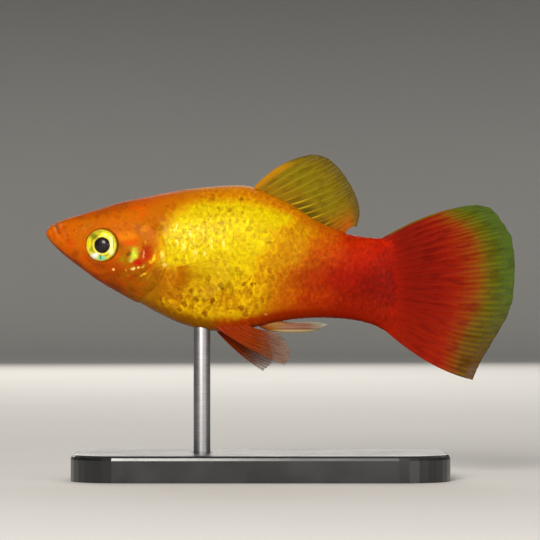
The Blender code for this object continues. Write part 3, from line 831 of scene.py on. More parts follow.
def patch_group():
    """A soft oval spot in the side view, 1 inside and 0 outside, from its centre, half sizes and turn."""
    inputs = {"Place": "Vector", "Centre": "Vector", "Size": "Vector", "Turn": "Float"}
    w, given, result = new_group("soft patch", inputs, {"Mask": "Float"})
    offset = w.vector("SUBTRACT", given["Place"], given["Centre"])
    turned = w.add("VectorRotate", rotation_type="Y_AXIS")
    w.join(given["Turn"], turned.inputs["Angle"])
    from_centre = w.length(w.vector("DIVIDE", w.fed(turned, [offset]), given["Size"]))
    w.join(w.fade(from_centre, 1.45, 0.35), result["Mask"])
    return w.tree


def spot_mask(w, patch, place, centre, size, turn):
    """The mask of one soft spot in the side view, from its centre, its half sizes and its turn in degrees."""
    (x, z), (half_long, half_high) = centre, size
    values = {"centre": (x, 0.0, z), "size": (half_long, 1.0, half_high), "turn": math.radians(turn)}
    return w.group(patch, place=place, **values)["Mask"]


def spotted(w, patch, place, colour, spots):
    """A colour with soft spots over it, each with a paint and a strength of its own."""
    for centre, size, turn, spot_paint, strength in spots:
        mask = spot_mask(w, patch, place, centre, size, turn)
        colour = w.mix(mask * strength, colour, spot_paint)
    return colour


def markings_group(patch):
    """The fish's colours: from orange head through golden flank to red tail, darker above and below, where
    the darkness below is partly painted shade.

    Net tells where the scales show one by one, and Gleam where they shine.
    """
    inputs = {"Place": "Vector", "Rise": "Float"}
    w, given, result = new_group("markings", inputs, {"Color": "Color", "Net": "Float", "Gleam": "Float"})
    place, rise = given["Place"], given["Rise"]
    x, _, z = w.parts(place)
    uneven = (w.noise(place, 0.45) - 0.5) * 2.6 + (w.noise(place, 1.7, 3.0) - 0.5) * 2.4
    nape = w.math("MAXIMUM", z - 22.0, 0.0) * 0.2 + w.math("MAXIMUM", z - 24.3, 0.0) * 0.8
    nape_lean = nape * w.fade(x, -8.0, -3.5, -1.0, 0.0)
    below = 21.5 - z
    tail_lean = (below * 0.6 + w.fade(below, 0.6, 2.3, 0.0, 0.9)) * w.fade(x, -5.5, -0.5)
    along = x + uneven + nape_lean + tail_lean
    height = rise + uneven * 0.02

    # The lower bands darken the underside partly as painted shade.
    colour = w.mix(w.fade(height, 0.84, 0.94), w.ramp(along, FLANK), w.ramp(along, BACK))
    colour = w.mix(w.fade(height, 0.44, 0.24), colour, w.ramp(along, LOW_FLANK))
    colour = w.mix(w.fade(height, 0.12, 0.06), colour, w.ramp(along, BELLY))
    # Painted shade: a band low on the rear flank is darkened.
    shaded = w.fade(rise, 0.75, 0.50) * w.fade(rise, 0.20, 0.38) * w.fade(along, 0.5, 4.0)
    colour = w.mix(shaded, colour, "E2D6D0", "MULTIPLY")

    flat_place = w.vector("MULTIPLY", w.warped(w.warped(place, 1.3, 0.4), 3.6, 0.24), (1.0, 0.0, 1.0))
    colour = spotted(w, patch, flat_place, colour, SPOTS)
    for fleck_paint, flecks in FLECKS.items():
        together = 0.0
        for centre, size, turn, strength in flecks:
            mask = spot_mask(w, patch, flat_place, centre, size, turn)
            together = w.math("MAXIMUM", together, mask * strength)
        colour = w.mix(together, colour, fleck_paint)

    streaky = w.drawn_out(place, 0.45, 2.0, 2.0, 0.6)
    # Painted highlight: pale gold streaks where the flank's scales shine.
    shine = spot_mask(w, patch, flat_place, *SHINE) * w.fade(streaky, 0.54, 0.70, 0.0, 0.38)
    colour = w.mix(shine, colour, "pale gold")
    scaled = w.fade(along, -12.1, -10.4)
    mottle = w.drawn_out(place, 0.72, 3.2, 2.0, 0.7)
    on_flank = scaled * w.fade(rise, 0.08, 0.16)
    colour = w.mix(on_flank * w.fade(mottle, 0.50, 0.34, 0.0, 0.42), colour, "C89040", "MULTIPLY")
    colour = w.mix(on_flank * w.fade(mottle, 0.52, 0.68, 0.0, 0.40), colour, "FFF0A0", "SOFT_LIGHT")
    blotch = w.drawn_out(place, 0.85, 1.7, 2.0, 0.6)
    low_band = w.fade(rise, 0.08, 0.14) * w.fade(rise, 0.52, 0.36)
    low_band = low_band * w.fade(along, -10.4, -8.4) * w.fade(along, 2.0, -1.0)
    colour = w.mix(low_band * w.fade(blotch, 0.50, 0.38, 0.0, 0.4), colour, "C09A38", "MULTIPLY")
    colour = w.mix(low_band * w.fade(blotch, 0.50, 0.62, 0.0, 0.55), colour, "EEC808")
    w.join(colour, result["Color"])

    patches = w.fade(w.noise(place, 0.8, 2.0), 0.40, 0.58, 0.35, 1.0)
    patches = patches * (1.0 - spot_mask(w, patch, flat_place, *FIN_SHADE))
    lower = w.fade(rise, 0.06, 0.12) * w.fade(rise, 0.52, 0.34)
    upper = w.fade(rise, 0.70, 0.78) * w.fade(rise, 0.95, 0.88)
    net = (lower * 0.75 + upper * 0.12 + 0.18) * patches
    golden = scaled * w.fade(along, 4.0, -2.0)
    w.join(w.math("MULTIPLY", golden, net, clamp=True), result["Net"])
    w.join(scaled * w.fade(along, 7.5, 3.5) * w.fade(rise, 0.10, 0.25), result["Gleam"])
    return w.tree


def grain_group():
    """Skin texture: a fine cell pattern over slower swells, as a height from 0 to 1."""
    w, given, result = new_group("grain", {"Place": "Vector", "Scale": "Float"}, {"Height": "Float"})
    place = w.sized(given["Place"], given["Scale"])
    cells = w.add("TexVoronoi", feature="SMOOTH_F1")
    w.join(place, cells.inputs["Vector"])
    cells.inputs["Scale"].default_value = 2.2
    swell = w.noise(place, 0.9, 3.0)
    w.join(Value(w, cells.outputs["Distance"]) * 0.6 + swell * 0.6, result["Height"])
    return w.tree


def rays_group():
    """A fin's forked rays, their joints and streaks, from the count across it and the share outwards."""
    inputs = {"Count": "Float", "Out": "Float", "Fork": "Float"}
    w, given, result = new_group("fin rays", inputs, {"Ray": "Float", "Joint": "Float", "Streak": "Float"})
    count, out, fork = given["Count"], given["Out"], given["Fork"]
    to_ray = abs(w.math("FRACT", count + 0.5) - 0.5)
    ray = w.fade(abs(to_ray - w.fade(out, fork, fork + 0.3, 0.0, 0.25)), 0.17, 0.05)
    joints = w.math("PINGPONG", out * 46.0, 1.0)
    w.join(ray, result["Ray"])
    w.join(ray * w.fade(joints, 0.30, 0.08), result["Joint"])
    w.join(w.noise(w.together(count * 1.1, out * 4.0, 0.0), 1.6, 3.0), result["Streak"])
    return w.tree


def skin_material(name, markings, grain):
    """Moist bare skin, for the head and all that shows between the scales."""
    made, w, shader = new_material(name, Specular_IOR_Level=0.03, Coat_Weight=0.01, Coat_Roughness=0.12)
    place = w.millimetres()
    marks = w.group(markings, place=place, rise=w.attribute("rise"))
    x, y, z = w.parts(place)
    to_eye = w.vector("SUBTRACT", w.together(x, 0.0, z), (EYE.x, 0.0, EYE.z))
    from_eye = w.length(w.vector("DIVIDE", to_eye, (math.cos(EYE_TURN), 1.0, 1.0)))
    ring = w.fade(abs(from_eye - EYE_RADIUS), 0.16, 0.04) * w.fade(abs(y), 1.0, 1.6)
    colour = w.mix(ring * 0.5, marks["Color"], "5A3004")
    cloud = w.noise(place, 1.1, 3.0, 0.6)
    colour = w.mix(w.fade(cloud, 0.48, 0.66, 0.0, 0.45), colour, "F0A020", "SOFT_LIGHT")
    colour = w.mix(w.fade(cloud, 0.50, 0.34, 0.0, 0.40), colour, "D09060", "MULTIPLY")
    fine = w.noise(place, 5.0, 4.0, 0.6)
    colour = w.mix(w.fade(fine, 0.50, 0.72, 0.0, 0.30), colour, "B06020", "MULTIPLY")
    w.join(colour, shader["Base Color"])
    w.join(marks["Gleam"] * 0.2, shader["Metallic"])
    w.join(w.fade(fine, 0.3, 0.7, 0.42, 0.60), shader["Roughness"])
    w.join(w.bump(w.group(grain, place=place, scale=2.0)["Height"], 0.6, 0.07), shader["Normal"])
    return made


def scale_material(markings, grain):
    """Overlapping scales. Low on the flank each has a dark middle and a bright free edge."""
    made, w, shader = new_material("scales", Specular_IOR_Level=0.035, Coat_Weight=0.015, Coat_Roughness=0.12)
    place = w.millimetres()
    marks = w.group(markings, place=place, rise=w.attribute("rise"))
    net, gleam = marks["Net"], marks["Gleam"]
    edge, chance = w.attribute("edge"), w.attribute("chance")
    along, across, _ = w.parts(w.attribute("on_scale", "Vector"))
    patchy = w.noise(place, 2.6, 3.0, 0.6)
    reach = edge + (patchy - 0.5) * 1.5
    centre = w.fade(reach, 0.72, 0.36) * w.fade(chance, 0.15, 0.85)
    colour = w.mix(centre * net, marks["Color"], "BCA040", "MULTIPLY")
    broken = w.fade(w.noise(place, 2.8, 2.0), 0.44, 0.60)
    crescent = w.fade(reach, 0.42, 0.72) * w.fade(reach, 1.20, 0.98) * broken
    colour = w.mix(crescent * net * w.fade(chance, 0.1, 0.9, 0.15, 0.6), colour, "F4CC0A")
    # Painted shade and highlight where the scales shine: their middles darker and their free edges brighter.
    drift = gleam * w.fade(w.noise(place, 0.8, 2.0), 0.40, 0.62, 0.04, 0.26)
    shaded = w.fade(reach, 0.75, 0.35) * drift * w.fade(chance, 0.2, 0.8)
    colour = w.mix(shaded, colour, "C09848", "MULTIPLY")
    colour = w.mix(crescent * drift, colour, "FFE070", "SOFT_LIGHT")
    colour = w.mix(w.fade(chance, 0.40, 0.0, 0.0, 0.18), colour, "D09048", "MULTIPLY")
    fine = w.noise(place, 5.0, 4.0, 0.6)
    colour = w.mix(w.fade(fine, 0.52, 0.76, 0.0, 0.20), colour, "B47820", "MULTIPLY")
    w.join(colour, shader["Base Color"])
    w.join(gleam * w.fade(patchy, 0.45, 0.65, 0.0, 0.15), shader["Metallic"])
    w.join(w.fade(fine, 0.3, 0.7, 0.26, 0.48), shader["Roughness"])
    rings = w.math("SINE", w.length(w.together(along, across, 0.0)) * 34.0)
    height = rings * 0.2 + w.group(grain, place=place, scale=3.0)["Height"]
    w.join(w.bump(height, 0.35, 0.03), shader["Normal"])
    return made


def eye_material(patch):
    """A golden iris with rings and flecks round a black pupil, under a wet surface."""
    made, w, shader = new_material(
        "eye", Roughness=0.35, Specular_IOR_Level=0.15, Coat_Weight=0.3, Coat_Roughness=0.03
    )
    disc = w.attribute("disc", "Vector")
    from_centre = w.length(w.vector("MULTIPLY", disc, (1.0, 0.0, 1.0)))
    iris = w.ramp(from_centre + (w.noise(disc, 1.6, 3.0, 0.6) - 0.5) * 0.14, IRIS)
    outside_pupil = w.fade(from_centre, 0.74, 0.82)
    w.join(w.mix(outside_pupil, iris, spotted(w, patch, disc, iris, IRIS_SPOTS)), shader["Base Color"])
    w.join(outside_pupil * 0.25, shader["Metallic"])
    w.join(w.bump(w.noise(disc, 6.0, 3.0), 0.2, 0.02), shader["Normal"])
    return made


def fin_material(name, rays, fin, look):
    """A fin's film and rays: colours by ripeness, which is 0 at the root, and clearer towards the margin."""
    made, w, shader = new_material(
        name, Roughness=0.50, Specular_IOR_Level=0.03, Coat_Weight=0.01, Coat_Roughness=0.25
    )
    ripe, out, count = w.attribute("ripe"), w.attribute("out"), w.attribute("count")
    fan = w.group(rays, count=count, out=out, fork=fin["fork"])
    ray, joint, streak = fan["Ray"], fan["Joint"], fan["Streak"]
    film = w.ramp(ripe + (streak - 0.5) * 0.30, look["film"])
    to_rear = w.fade(count, fin["rays"] * 0.45, fin["rays"] - 1.0)
    inner = w.fade(ripe, 0.02, 0.2) * w.fade(ripe, 1.0, 0.6)
    for (rear_paint, share), near in zip(look["rear"], (inner, w.fade(ripe, 0.8, 1.2))):
        film = w.mix(to_rear * near * share, film, rear_paint)
    film = w.mix(w.fade(streak, 0.50, 0.36, 0.0, 0.3), film, "8C5A30", "MULTIPLY")
    at_margin = w.fade(ripe, 1.3, 1.9, 1.0, 0.35)
    lit = ray * at_margin * w.fade(ripe, 0.35, 1.05, 0.0, look["lit"])
    lit = lit * w.fade(streak, 0.35, 0.60, 0.25, 1.0)
    inner_ray, outer_ray = look["rays"]
    colour = w.mix(lit, film, w.mix(w.fade(ripe, 0.70, 1.15), inner_ray, outer_ray))
    root_shade, margin_shade, shade_paint = look["shade"]
    between = w.fade(ray, 0.35, 0.0) * at_margin * w.fade(ripe, 0.2, 0.8, root_shade, margin_shade)
    colour = w.mix(between, colour, shade_paint, "MULTIPLY")
    colour = w.mix(joint * 0.10, colour, "5A3010", "MULTIPLY")
    if "rim" in look:
        rim_paint, share = look["rim"]
        rim = w.fade(count, 0.55, 0.15) * w.fade(ripe, 0.75, 0.45)
        colour = w.mix(rim * share, colour, rim_paint)
    if "streaks" in look:
        streak_paint, share = look["streaks"]
        at_root = w.fade(ripe, 0.08, 0.13) * w.fade(ripe, 0.34, 0.16)
        at_root = at_root * w.fade(count, 3.5, 5.5) * w.fade(count, 11.5, 10.0)
        uneven = w.noise(w.together(count * 0.9, 0.0, 0.0), 1.4, 2.0)
        dark = w.fade(ray, 0.5, 0.1) * w.fade(uneven, 0.36, 0.56, 0.3, 1.0) * at_root
        colour = w.mix(dark * share, colour, streak_paint)
        bright = ray * at_root * w.fade(uneven, 0.56, 0.44)
        colour = w.mix(bright * share, colour, "C0A01C")
    w.join(colour, shader["Base Color"])
    root_alpha, margin_alpha, gap_alpha, clear_from = look["alpha"]
    whole = w.fade(ripe, clear_from, clear_from + 0.45, root_alpha, margin_alpha)
    gap = w.fade(ray, 0.8, 0.0) * w.fade(ripe, clear_from - 0.1, clear_from + 0.4)
    w.join(w.math("MULTIPLY", whole, 1.0 - gap * (1.0 - gap_alpha), clamp=True), shader["Alpha"])
    w.join(w.bump(ray + joint, 0.16, 0.04), shader["Normal"])
    return made


def rod_fin_material(grain):
    """The gonopodium: orange at its root, whitish and a little see-through to its tip."""
    made, w, shader = new_material(
        "gonopodium", Roughness=0.4, Specular_IOR_Level=0.2, Coat_Weight=0.1, Coat_Roughness=0.2
    )
    place = w.millimetres()
    x, _, z = w.parts(place)
    colour = w.ramp(x + (w.noise(place, 1.3, 3.0) - 0.5) * 1.6, PALE_ROD)
    lower_band = w.fade(z, 14.38, 14.22) * w.fade(x, -1.6, -0.2)
    colour = w.mix(lower_band * 0.75, colour, "BCA878")
    upper_band = w.fade(z, 14.84, 14.96) * w.fade(x, 0.4, 1.8)
    colour = w.mix(upper_band * 0.65, colour, "B0A48C")
    groove = w.fade(abs(z - ROD_GROOVES[0][0]), 0.10, 0.0)
    colour = w.mix(groove * 0.5, colour, "8A5A3C")
    w.join(colour, shader["Base Color"])
    w.join(w.fade(x, 0.0, 3.5, 1.0, 0.86), shader["Alpha"])
    w.join(w.bump(w.group(grain, place=place, scale=3.0)["Height"], 0.3, 0.03), shader["Normal"])
    return made


def base_material(grain):
    """Black satin acrylic, its colour and roughness faintly cloudy."""
    made, w, shader = new_material("stand_black", Coat_Weight=0.3, Coat_Roughness=0.1)
    place = w.millimetres()
    cloud = w.noise(place, 0.16, 4.0, 0.6)
    w.join(w.mix(w.fade(cloud, 0.35, 0.7), "17181A", "202124"), shader["Base Color"])
    w.join(w.fade(cloud, 0.3, 0.7, 0.26, 0.38), shader["Roughness"])
    w.join(w.bump(w.group(grain, place=place, scale=4.0)["Height"], 0.12, 0.02), shader["Normal"])
    return made


def rod_material():
    """Brushed steel, with fine lines round the rod."""
    made, w, shader = new_material("stand_steel", Metallic=1.0)
    lines = w.noise(w.vector("MULTIPLY", w.millimetres(), (0.6, 0.6, 30.0)), 1.2, 3.0)
    w.join(w.mix(w.fade(lines, 0.35, 0.7), "8E8E92", "A8A8AA"), shader["Base Color"])
    w.join(w.fade(lines, 0.3, 0.7, 0.40, 0.52), shader["Roughness"])
    w.join(w.bump(lines, 0.15, 0.01), shader["Normal"])
    return made


def floor_material():
    """Matt pale paper, which turns to a soft grey up the wall."""
    made, w, shader = new_material("pale_floor", Roughness=0.9, Specular_IOR_Level=0.2)
    place = w.millimetres()
    _, _, z = w.parts(place)
    paper = w.mix(w.noise(place, 0.02, 3.0), "E6E5E2", "ECEBE8")
    w.join(w.mix(w.fade(z, 0.0, 150.0), paper, "77787A"), shader["Base Color"])
    w.join(w.bump(w.noise(place, 1.5, 2.0), 0.05, 0.05), shader["Normal"])
    return made


def sculpt(point):
    """How far the skin stands out from the plain body at a point, for all that is modelled in it."""
    x, z = point.x, point.z
    out = noise.noise(point * 0.55) * 0.04 + noise.noise(point * 1.7) * 0.012
    out *= smooth_step(x, -22.4, -20.5)
    out -= COAT_DEPTH * smooth_step(x - gill_edge(z), -0.5 - 2.0 * smooth_step(z, 23.5, 26.0), 0.3)
    if x > -10:
        return out

    down = (MOUTH_CORNER - MOUTH_TOP).normalized()
    away = Vector((-down.z, 0.0, down.x))
    across = (point - MOUTH_TOP).dot(away)
    slit = smooth_step(z, MOUTH_CORNER.z - 0.10, MOUTH_CORNER.z + 0.15)
    lips = smooth_step(z, MOUTH_CORNER.z - 0.5, MOUTH_CORNER.z + 0.1)
    out += slit * folds(across, MOUTH_SLIT) + lips * folds(across, LIP_FOLDS)

    for nostril_x, nostril_z, radius in NOSTRILS:
        gap = math.hypot(x - nostril_x, z - nostril_z)
        out += NOSTRIL_RIM * bell(gap - radius * 1.5, radius * 0.6)
        out -= NOSTRIL_DEPTH * smooth_step(-gap, -radius * 1.05, -radius * 0.55)

    gap = math.hypot((x - EYE.x) / math.cos(EYE_TURN), z - EYE.z)
    out += folds(gap, EYE_FOLDS) - SOCKET_DEPTH * smooth_step(-gap, -1.57, -1.38)
    turn = math.degrees(math.atan2(z - EYE.z, x - EYE.x))
    cheek = smooth_step(-turn, -10, 20) * smooth_step(turn, -165, -130)
    down_throat = z - 17.5 + 0.52 * (x + 14.5)
    out += cheek * folds(gap, CHEEK_FOLDS)
    return out + folds(down_throat, THROAT_FOLDS) * smooth_step(x, -17.5, -16.0)


def ring_share(share):
    """Spends most of the skin's rings on the head."""
    head_part = HEAD_SPANS / (len(BODY) - 1)
    if share < HEAD_RING_SHARE:
        return share / HEAD_RING_SHARE * head_part
    return head_part + (share - HEAD_RING_SHARE) / (1 - HEAD_RING_SHARE) * (1 - head_part)


def loft(stations, rings, segments, spacing=lambda share: share):
    """A closed form through the stations, made by reshaping a sphere whose poles are the two ends."""
    bm = bmesh.new()
    bmesh.ops.create_uvsphere(bm, u_segments=segments, v_segments=rings, radius=1.0)
    sections = {}
    for vert in bm.verts:
        ring = round(math.acos(max(-1.0, min(1.0, -vert.co.z))) / math.pi * rings)
        if ring not in sections:
            sections[ring] = section_at(stations, spacing(ring / rings))
        vert.co = section_point(sections[ring], math.atan2(vert.co.y, vert.co.x))
    turn_outwards(bm)
    return bm


def build_skin(material):
    """One skin without seams, from the lips to the root of the tail fin."""
    bm = loft(BODY, SKIN_RINGS, SKIN_SEGMENTS, ring_share)
    rise = bm.verts.layers.float.new("rise")
    for vert in bm.verts:
        vert[rise] = SURFACE.rise(vert.co)
    for vert, out in [(vert, sculpt(vert.co)) for vert in bm.verts]:
        vert.co += vert.normal * out
    skin = finished(bm, "skin", material)
    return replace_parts(skin, "head", "torso", "tail", "gill_cover_left", "gill_cover_right")


def build_gill_plates(material):
    """The bony plate on each cheek: its front lies under the skin and its rear edge stands free."""
    columns, rows = 40, 56
    for side, name in ((-1, "gill_plate_left"), (1, "gill_plate_right")):
        bm = bmesh.new()
        bmesh.ops.create_grid(bm, x_segments=columns, y_segments=rows, size=1.0)
        rise = bm.verts.layers.float.new("rise")
        for vert in bm.verts:
            back, down = (vert.co.x + 1) / 2, (1 - vert.co.y) / 2
            front_x, front_z = spline_at(PLATE_FRONT, down)
            rear_x, rear_z = spline_at(PLATE_REAR, down)
            x = front_x + (rear_x - front_x) * back
            z = front_z + (rear_z - front_z) * back
            ends = smooth_step(down, 0.0, 0.14) * smooth_step(-down, -1.0, -0.66)
            lift = 0.18 * smooth_step(back, 0.0, 0.25) + 0.05 * smooth_step(back, 0.3, 0.8)
            lift += 0.012 * math.sin(back * 26) * smooth_step(back, 0.5, 0.8)
            lift += 0.03 * noise.noise(Vector((x, side, z)) * 0.8)
            lift = lift * ends - PLATE_SINK - 0.09 * smooth_step(back, 0.88, 1.0)
            vert.co = (x, side * (SURFACE.flank(x, z) + lift), z)
            vert[rise] = SURFACE.rise(vert.co)
        bm.normal_update()
        if next(iter(bm.faces)).normal.y * side < 0:
            bmesh.ops.reverse_faces(bm, faces=bm.faces)
        plate = finished(bm, name, material)
        wall = plate.modifiers.new("wall", "SOLIDIFY")
        wall.thickness = PLATE_THICKNESS * MM
        wall.offset = -1.0


def row_step(place, sign):
    """The distance between two rows of scales, which draw closer where the body narrows."""
    return ROW_STEP * (SURFACE.arcs(place, sign)[-1] / SURFACE.arcs(DEEPEST_PLACE, sign)[-1]) ** 0.6


def last_root(height):
    """Where the scales end, in a curve that bulges to the tail at the middle of its root."""
    return SCALE_END - SCALE_END_CURVE * (height - TAIL_MIDDLE) ** 2


def scale_roots():
    """Each scale's place along the fish and its distance round it from the flank line, with the steps
    along and across from there to the next, and whether it lies on the back's or the belly's middle.
    """
    x = SCALES_START
    column = 0
    while x < SCALE_END:
        step = SCALE_STEP + (SCALE_STEP_TAIL - SCALE_STEP) * smooth_step(x, -6, 8)
        for sign in (1, -1):
            width = row_step(x, sign)
            reach = SURFACE.arcs(x, sign)[-1]
            for row in range(column % 2, int(reach / width) + 1, 2):
                if row * width < reach - 0.45 * width and (sign > 0 or row > 0):
                    yield x, sign * row * width, step, width, False
            yield x, sign * reach, step, width, True
        x += step / 2
        column += 1


def build_scales(material):
    """Thin overlapping plates, each bent to the body it lies on, with the free edge to the tail."""
    draw = random.Random(7)
    pattern = bmesh.new()
    bmesh.ops.create_uvsphere(pattern, u_segments=12, v_segments=5, radius=1.0)
    shape = bpy.data.meshes.new("scale_pattern")
    pattern.to_mesh(shape)
    pattern.free()

    bm = bmesh.new()
    rise = bm.verts.layers.float.new("rise")
    edge = bm.verts.layers.float.new("edge")
    chance = bm.verts.layers.float.new("chance")
    on_scale = bm.verts.layers.float_vector.new("on_scale")
    bake = bm.loops.layers.uv.new("OFBake")
    for x, arc, step, width, middle in scale_roots():
        for side in (1,) if middle else (1, -1):
            place = x + draw.uniform(-SCALE_STRAY, SCALE_STRAY)
            luck, tilt = draw.random(), draw.uniform(-SCALE_TILT, SCALE_TILT)
            root = SURFACE.point(place, SURFACE.angle(place, arc))
            last = last_root(root.z)
            if not gill_edge(root.z) - FIRST_SCALES < place < last + draw.uniform(-LAST_STRAY, LAST_STRAY):
                continue
            settle = smooth_step(-place, -last - LAST_STRAY, -last + 2.0)
            settle *= 1 - 0.8 * smooth_step(root.z, 23.0, 25.0) * smooth_step(-place, 8.0, 11.0)
            first_vert, first_face = len(bm.verts), len(bm.faces)
            bm.from_mesh(shape)
            bm.verts.ensure_lookup_table()
            bm.faces.ensure_lookup_table()
            for vert in bm.verts[first_vert:]:
                back, across, up = vert.co
                along = (back + 1) / 2
                here = place + along * step * SCALE_OVERLAP
                half_width = width * (SCALE_HALF_WIDTH + ROOT_WIDENING * (1 - along))
                angle = SURFACE.angle(here, arc + across * half_width)
                point, outward = SURFACE.point(here, angle), SURFACE.normal(here, angle)
                lift = (SCALE_LIFT + tilt + SCALE_BULGE * (1 - across**2)) * along * (0.35 + 0.65 * settle)
                lift -= COAT_DEPTH + SCALE_SINK
                vert.co = point + outward * (lift + up * SCALE_THICKNESS / 2)
                vert.co.y *= side
                vert[rise] = SURFACE.rise(vert.co)
                vert[edge] = math.hypot(max(back, 0.0), across) * smooth_step(back, -0.5, 0.2)
                vert[chance] = luck
                vert[on_scale] = (back, across, 0.0)
            turn = SURFACE.angle(place, arc) / math.tau
            home_u = (turn if side > 0 else 0.5 - turn) % 1.0
            home_v = (place - BODY[0][0]) / (BODY[-1][0] - BODY[0][0])
            for face in bm.faces[first_face:]:
                if side > 0:
                    face.normal_flip()
                for loop in face.loops:
                    back, across, _ = loop.vert[on_scale]
                    loop[bake].uv = (home_u + across * BAKE_PATCH / 2, home_v + back * BAKE_PATCH / 2)
    bpy.data.meshes.remove(shape)
    return finished(bm, "scales", material, sharp_from=30)


def build_eyes(material):
    """Each eyeball is a flattened ball whose lens stands out in the middle of a slightly sunken iris."""
    for side, name in ((-1, "eye_left"), (1, "eye_right")):
        bm = bmesh.new()
        bmesh.ops.create_uvsphere(bm, u_segments=72, v_segments=96, radius=1.0)
        disc = bm.verts.layers.float_vector.new("disc")
        placed = Matrix.Translation((EYE.x, side * EYE.y, EYE.z)) @ Matrix.Rotation(side * EYE_TURN, 4, "Z")
        for vert in bm.verts:
            around = Vector((vert.co.x, vert.co.y))
            reach = around.length ** (2 / EYE_POWER) * EYE_RADIUS
            around = around.normalized() * reach if reach > 0.0001 else Vector((0.0, 0.0))
            out = math.copysign(abs(vert.co.z) ** (2 / EYE_POWER), vert.co.z) * EYE_DEPTH
            shift = PUPIL_SHIFT * smooth_step(-reach, -1.55, -0.85)
            from_pupil = math.hypot(around.x - shift, around.y)
            if vert.co.z > 0:
                out += LENS_RISE * math.sqrt(max(1 - (from_pupil / LENS_RADIUS) ** 2, 0.0))
                out -= IRIS_SINK * bell(from_pupil - 0.98, 0.22)
            vert.co = placed @ Vector((around.x, side * out, around.y))
            vert[disc] = (around.x - shift, 0.0, around.y)
        turn_outwards(bm)
        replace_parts(finished(bm, name + "_wet", material), name)


def dorsal_roots():
    return [(x, 0.0, SURFACE.section(x)[1] - ROOT_SINK) for x in DORSAL_BASE]


def caudal_roots():
    _, top, bottom, _ = SURFACE.section(CAUDAL_BASE)
    edge = ROOT_SINK / 2
    return [(CAUDAL_BASE, 0.0, z) for z in (top - edge, (top + bottom) / 2, bottom + edge)]


def pectoral_roots():
    return [(x, SURFACE.flank(x, z) - ROOT_SINK, z) for x, z in PECTORAL_BASE]


def pelvic_roots(side):
    return [(x, side * PELVIC_APART, SURFACE.section(x)[2] + ROOT_SINK) for x in PELVIC_BASE]


def ray_ridge(count, rays, out, fork):
    """Height of the ray's ridge, from 0 to 1, at a count across the fin. All but the edge rays fork."""
    nearest = round(count)
    inner = 0 < nearest < rays - 1
    apart = 0.25 * smooth_step(out, fork, fork + 0.3) if inner else 0.0
    return bell(abs(count - nearest) - apart, RAY_WIDTH)


def caudal_ripeness(across, out):
    """0 at the red root, 1 where the red ends and more towards the clear margin, which is widest above."""
    red_end = spline_at([(0.60,), (0.71,), (0.73,), (0.72,), (0.70,), (0.80,)], across)[0]
    upper_edge = 1.25 * smooth_step(-across, -0.030, -0.008) * smooth_step(out, 0.03, 0.15)
    if out < red_end:
        return max(out / red_end, upper_edge)
    return 1 + (out - red_end) / (1 - red_end)


def plain_ripeness(across, out):
    return out


def build_fin(name, fin, roots, node, material, ripeness=plain_ripeness, mirror=1, rows=72):
    """A thin film with forked rays raised on both faces, thick and fleshy only at its root."""
    bm = bmesh.new()
    columns = RAY_COLUMNS * (fin["rays"] - 1)
    bmesh.ops.create_grid(bm, x_segments=columns, y_segments=rows, size=1.0)
    count_layer = bm.verts.layers.float.new("count")
    out_layer = bm.verts.layers.float.new("out")
    ripe_layer = bm.verts.layers.float.new("ripe")
    thickest = fin["base"] + fin["film"] + fin["ridge"]
    weights = []
    for vert in bm.verts:
        across, out = (vert.co.x + 1) / 2, (vert.co.y + 1) / 2
        swept = across ** fin.get("sweep", 1.0)
        count = across * (fin["rays"] - 1)
        ridge = ray_ridge(count, fin["rays"], out, fin["fork"])
        cut = fin["notch"] * (1 - ridge) * smooth_step(out, 0.8, 1.0)
        stray = 1 + noise.noise(Vector((count * 0.9, 3.0, 0.0)))
        cut += MARGIN_STRAY * stray * smooth_step(out, 0.7, 1.0)
        reach = out - cut
        root = Vector(spline_at(roots, across))
        middle = Vector(spline_at(fin["middles"], swept))
        tip = Vector(spline_at(fin["tips"], swept))
        point = (
            root * (2 * reach - 1) * (reach - 1)
            + middle * 4 * reach * (1 - reach)
            + tip * reach * (2 * reach - 1)
        )
        ripple = RIPPLE * math.sin(count * math.tau / RIPPLE_RAYS + out * 2) * smooth_step(out, 0.3, 1.0)
        vert.co = (point.x, (point.y + ripple) * mirror, point.z)
        fleshy = math.sqrt(4 * across * (1 - across)) * math.exp(-out / fin.get("flesh", 0.13))
        thickness = fin["base"] * fleshy + fin["film"] + fin["ridge"] * ridge * (1 - RIDGE_FALL * out)
        weights.append(thickness / thickest)
        vert[count_layer] = count
        vert[out_layer] = out
        vert[ripe_layer] = ripeness(across, out)
    piece = finished(bm, name, material)
    group = piece.vertex_groups.new(name="thickness")
    for index, weight in enumerate(weights):
        group.add([index], weight, "REPLACE")
    solid = piece.modifiers.new("solid", "SOLIDIFY")
    solid.thickness = thickest * MM
    solid.offset = 0.0
    solid.vertex_group = group.name
    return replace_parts(piece, node)


def build_fins(rays):
    caudal = fin_material("caudal_fin", rays, CAUDAL, FIN_LOOKS["caudal"])
    build_fin("caudal_fan", CAUDAL, caudal_roots(), "caudal_fin", caudal, caudal_ripeness, rows=96)
    dorsal = fin_material("dorsal_fin", rays, DORSAL, FIN_LOOKS["dorsal"])
    build_fin("dorsal_sail", DORSAL, dorsal_roots(), "dorsal_fin", dorsal)
    clear = fin_material("pectoral_fin", rays, PECTORAL, FIN_LOOKS["pectoral"])
    for side, number in (("left", -1), ("right", 1)):
        node = "pectoral_fin_" + side
        build_fin("pectoral_fan_" + side, PECTORAL, pectoral_roots(), node, clear, mirror=number)
    pelvic = fin_material("pelvic_fin", rays, PELVIC_LEFT, FIN_LOOKS["pelvic"])
    for side, number, fin in (("left", -1, PELVIC_LEFT), ("right", 1, PELVIC_RIGHT)):
        node = "pelvic_fin_" + side
        build_fin("pelvic_fan_" + side, fin, pelvic_roots(number), node, pelvic)


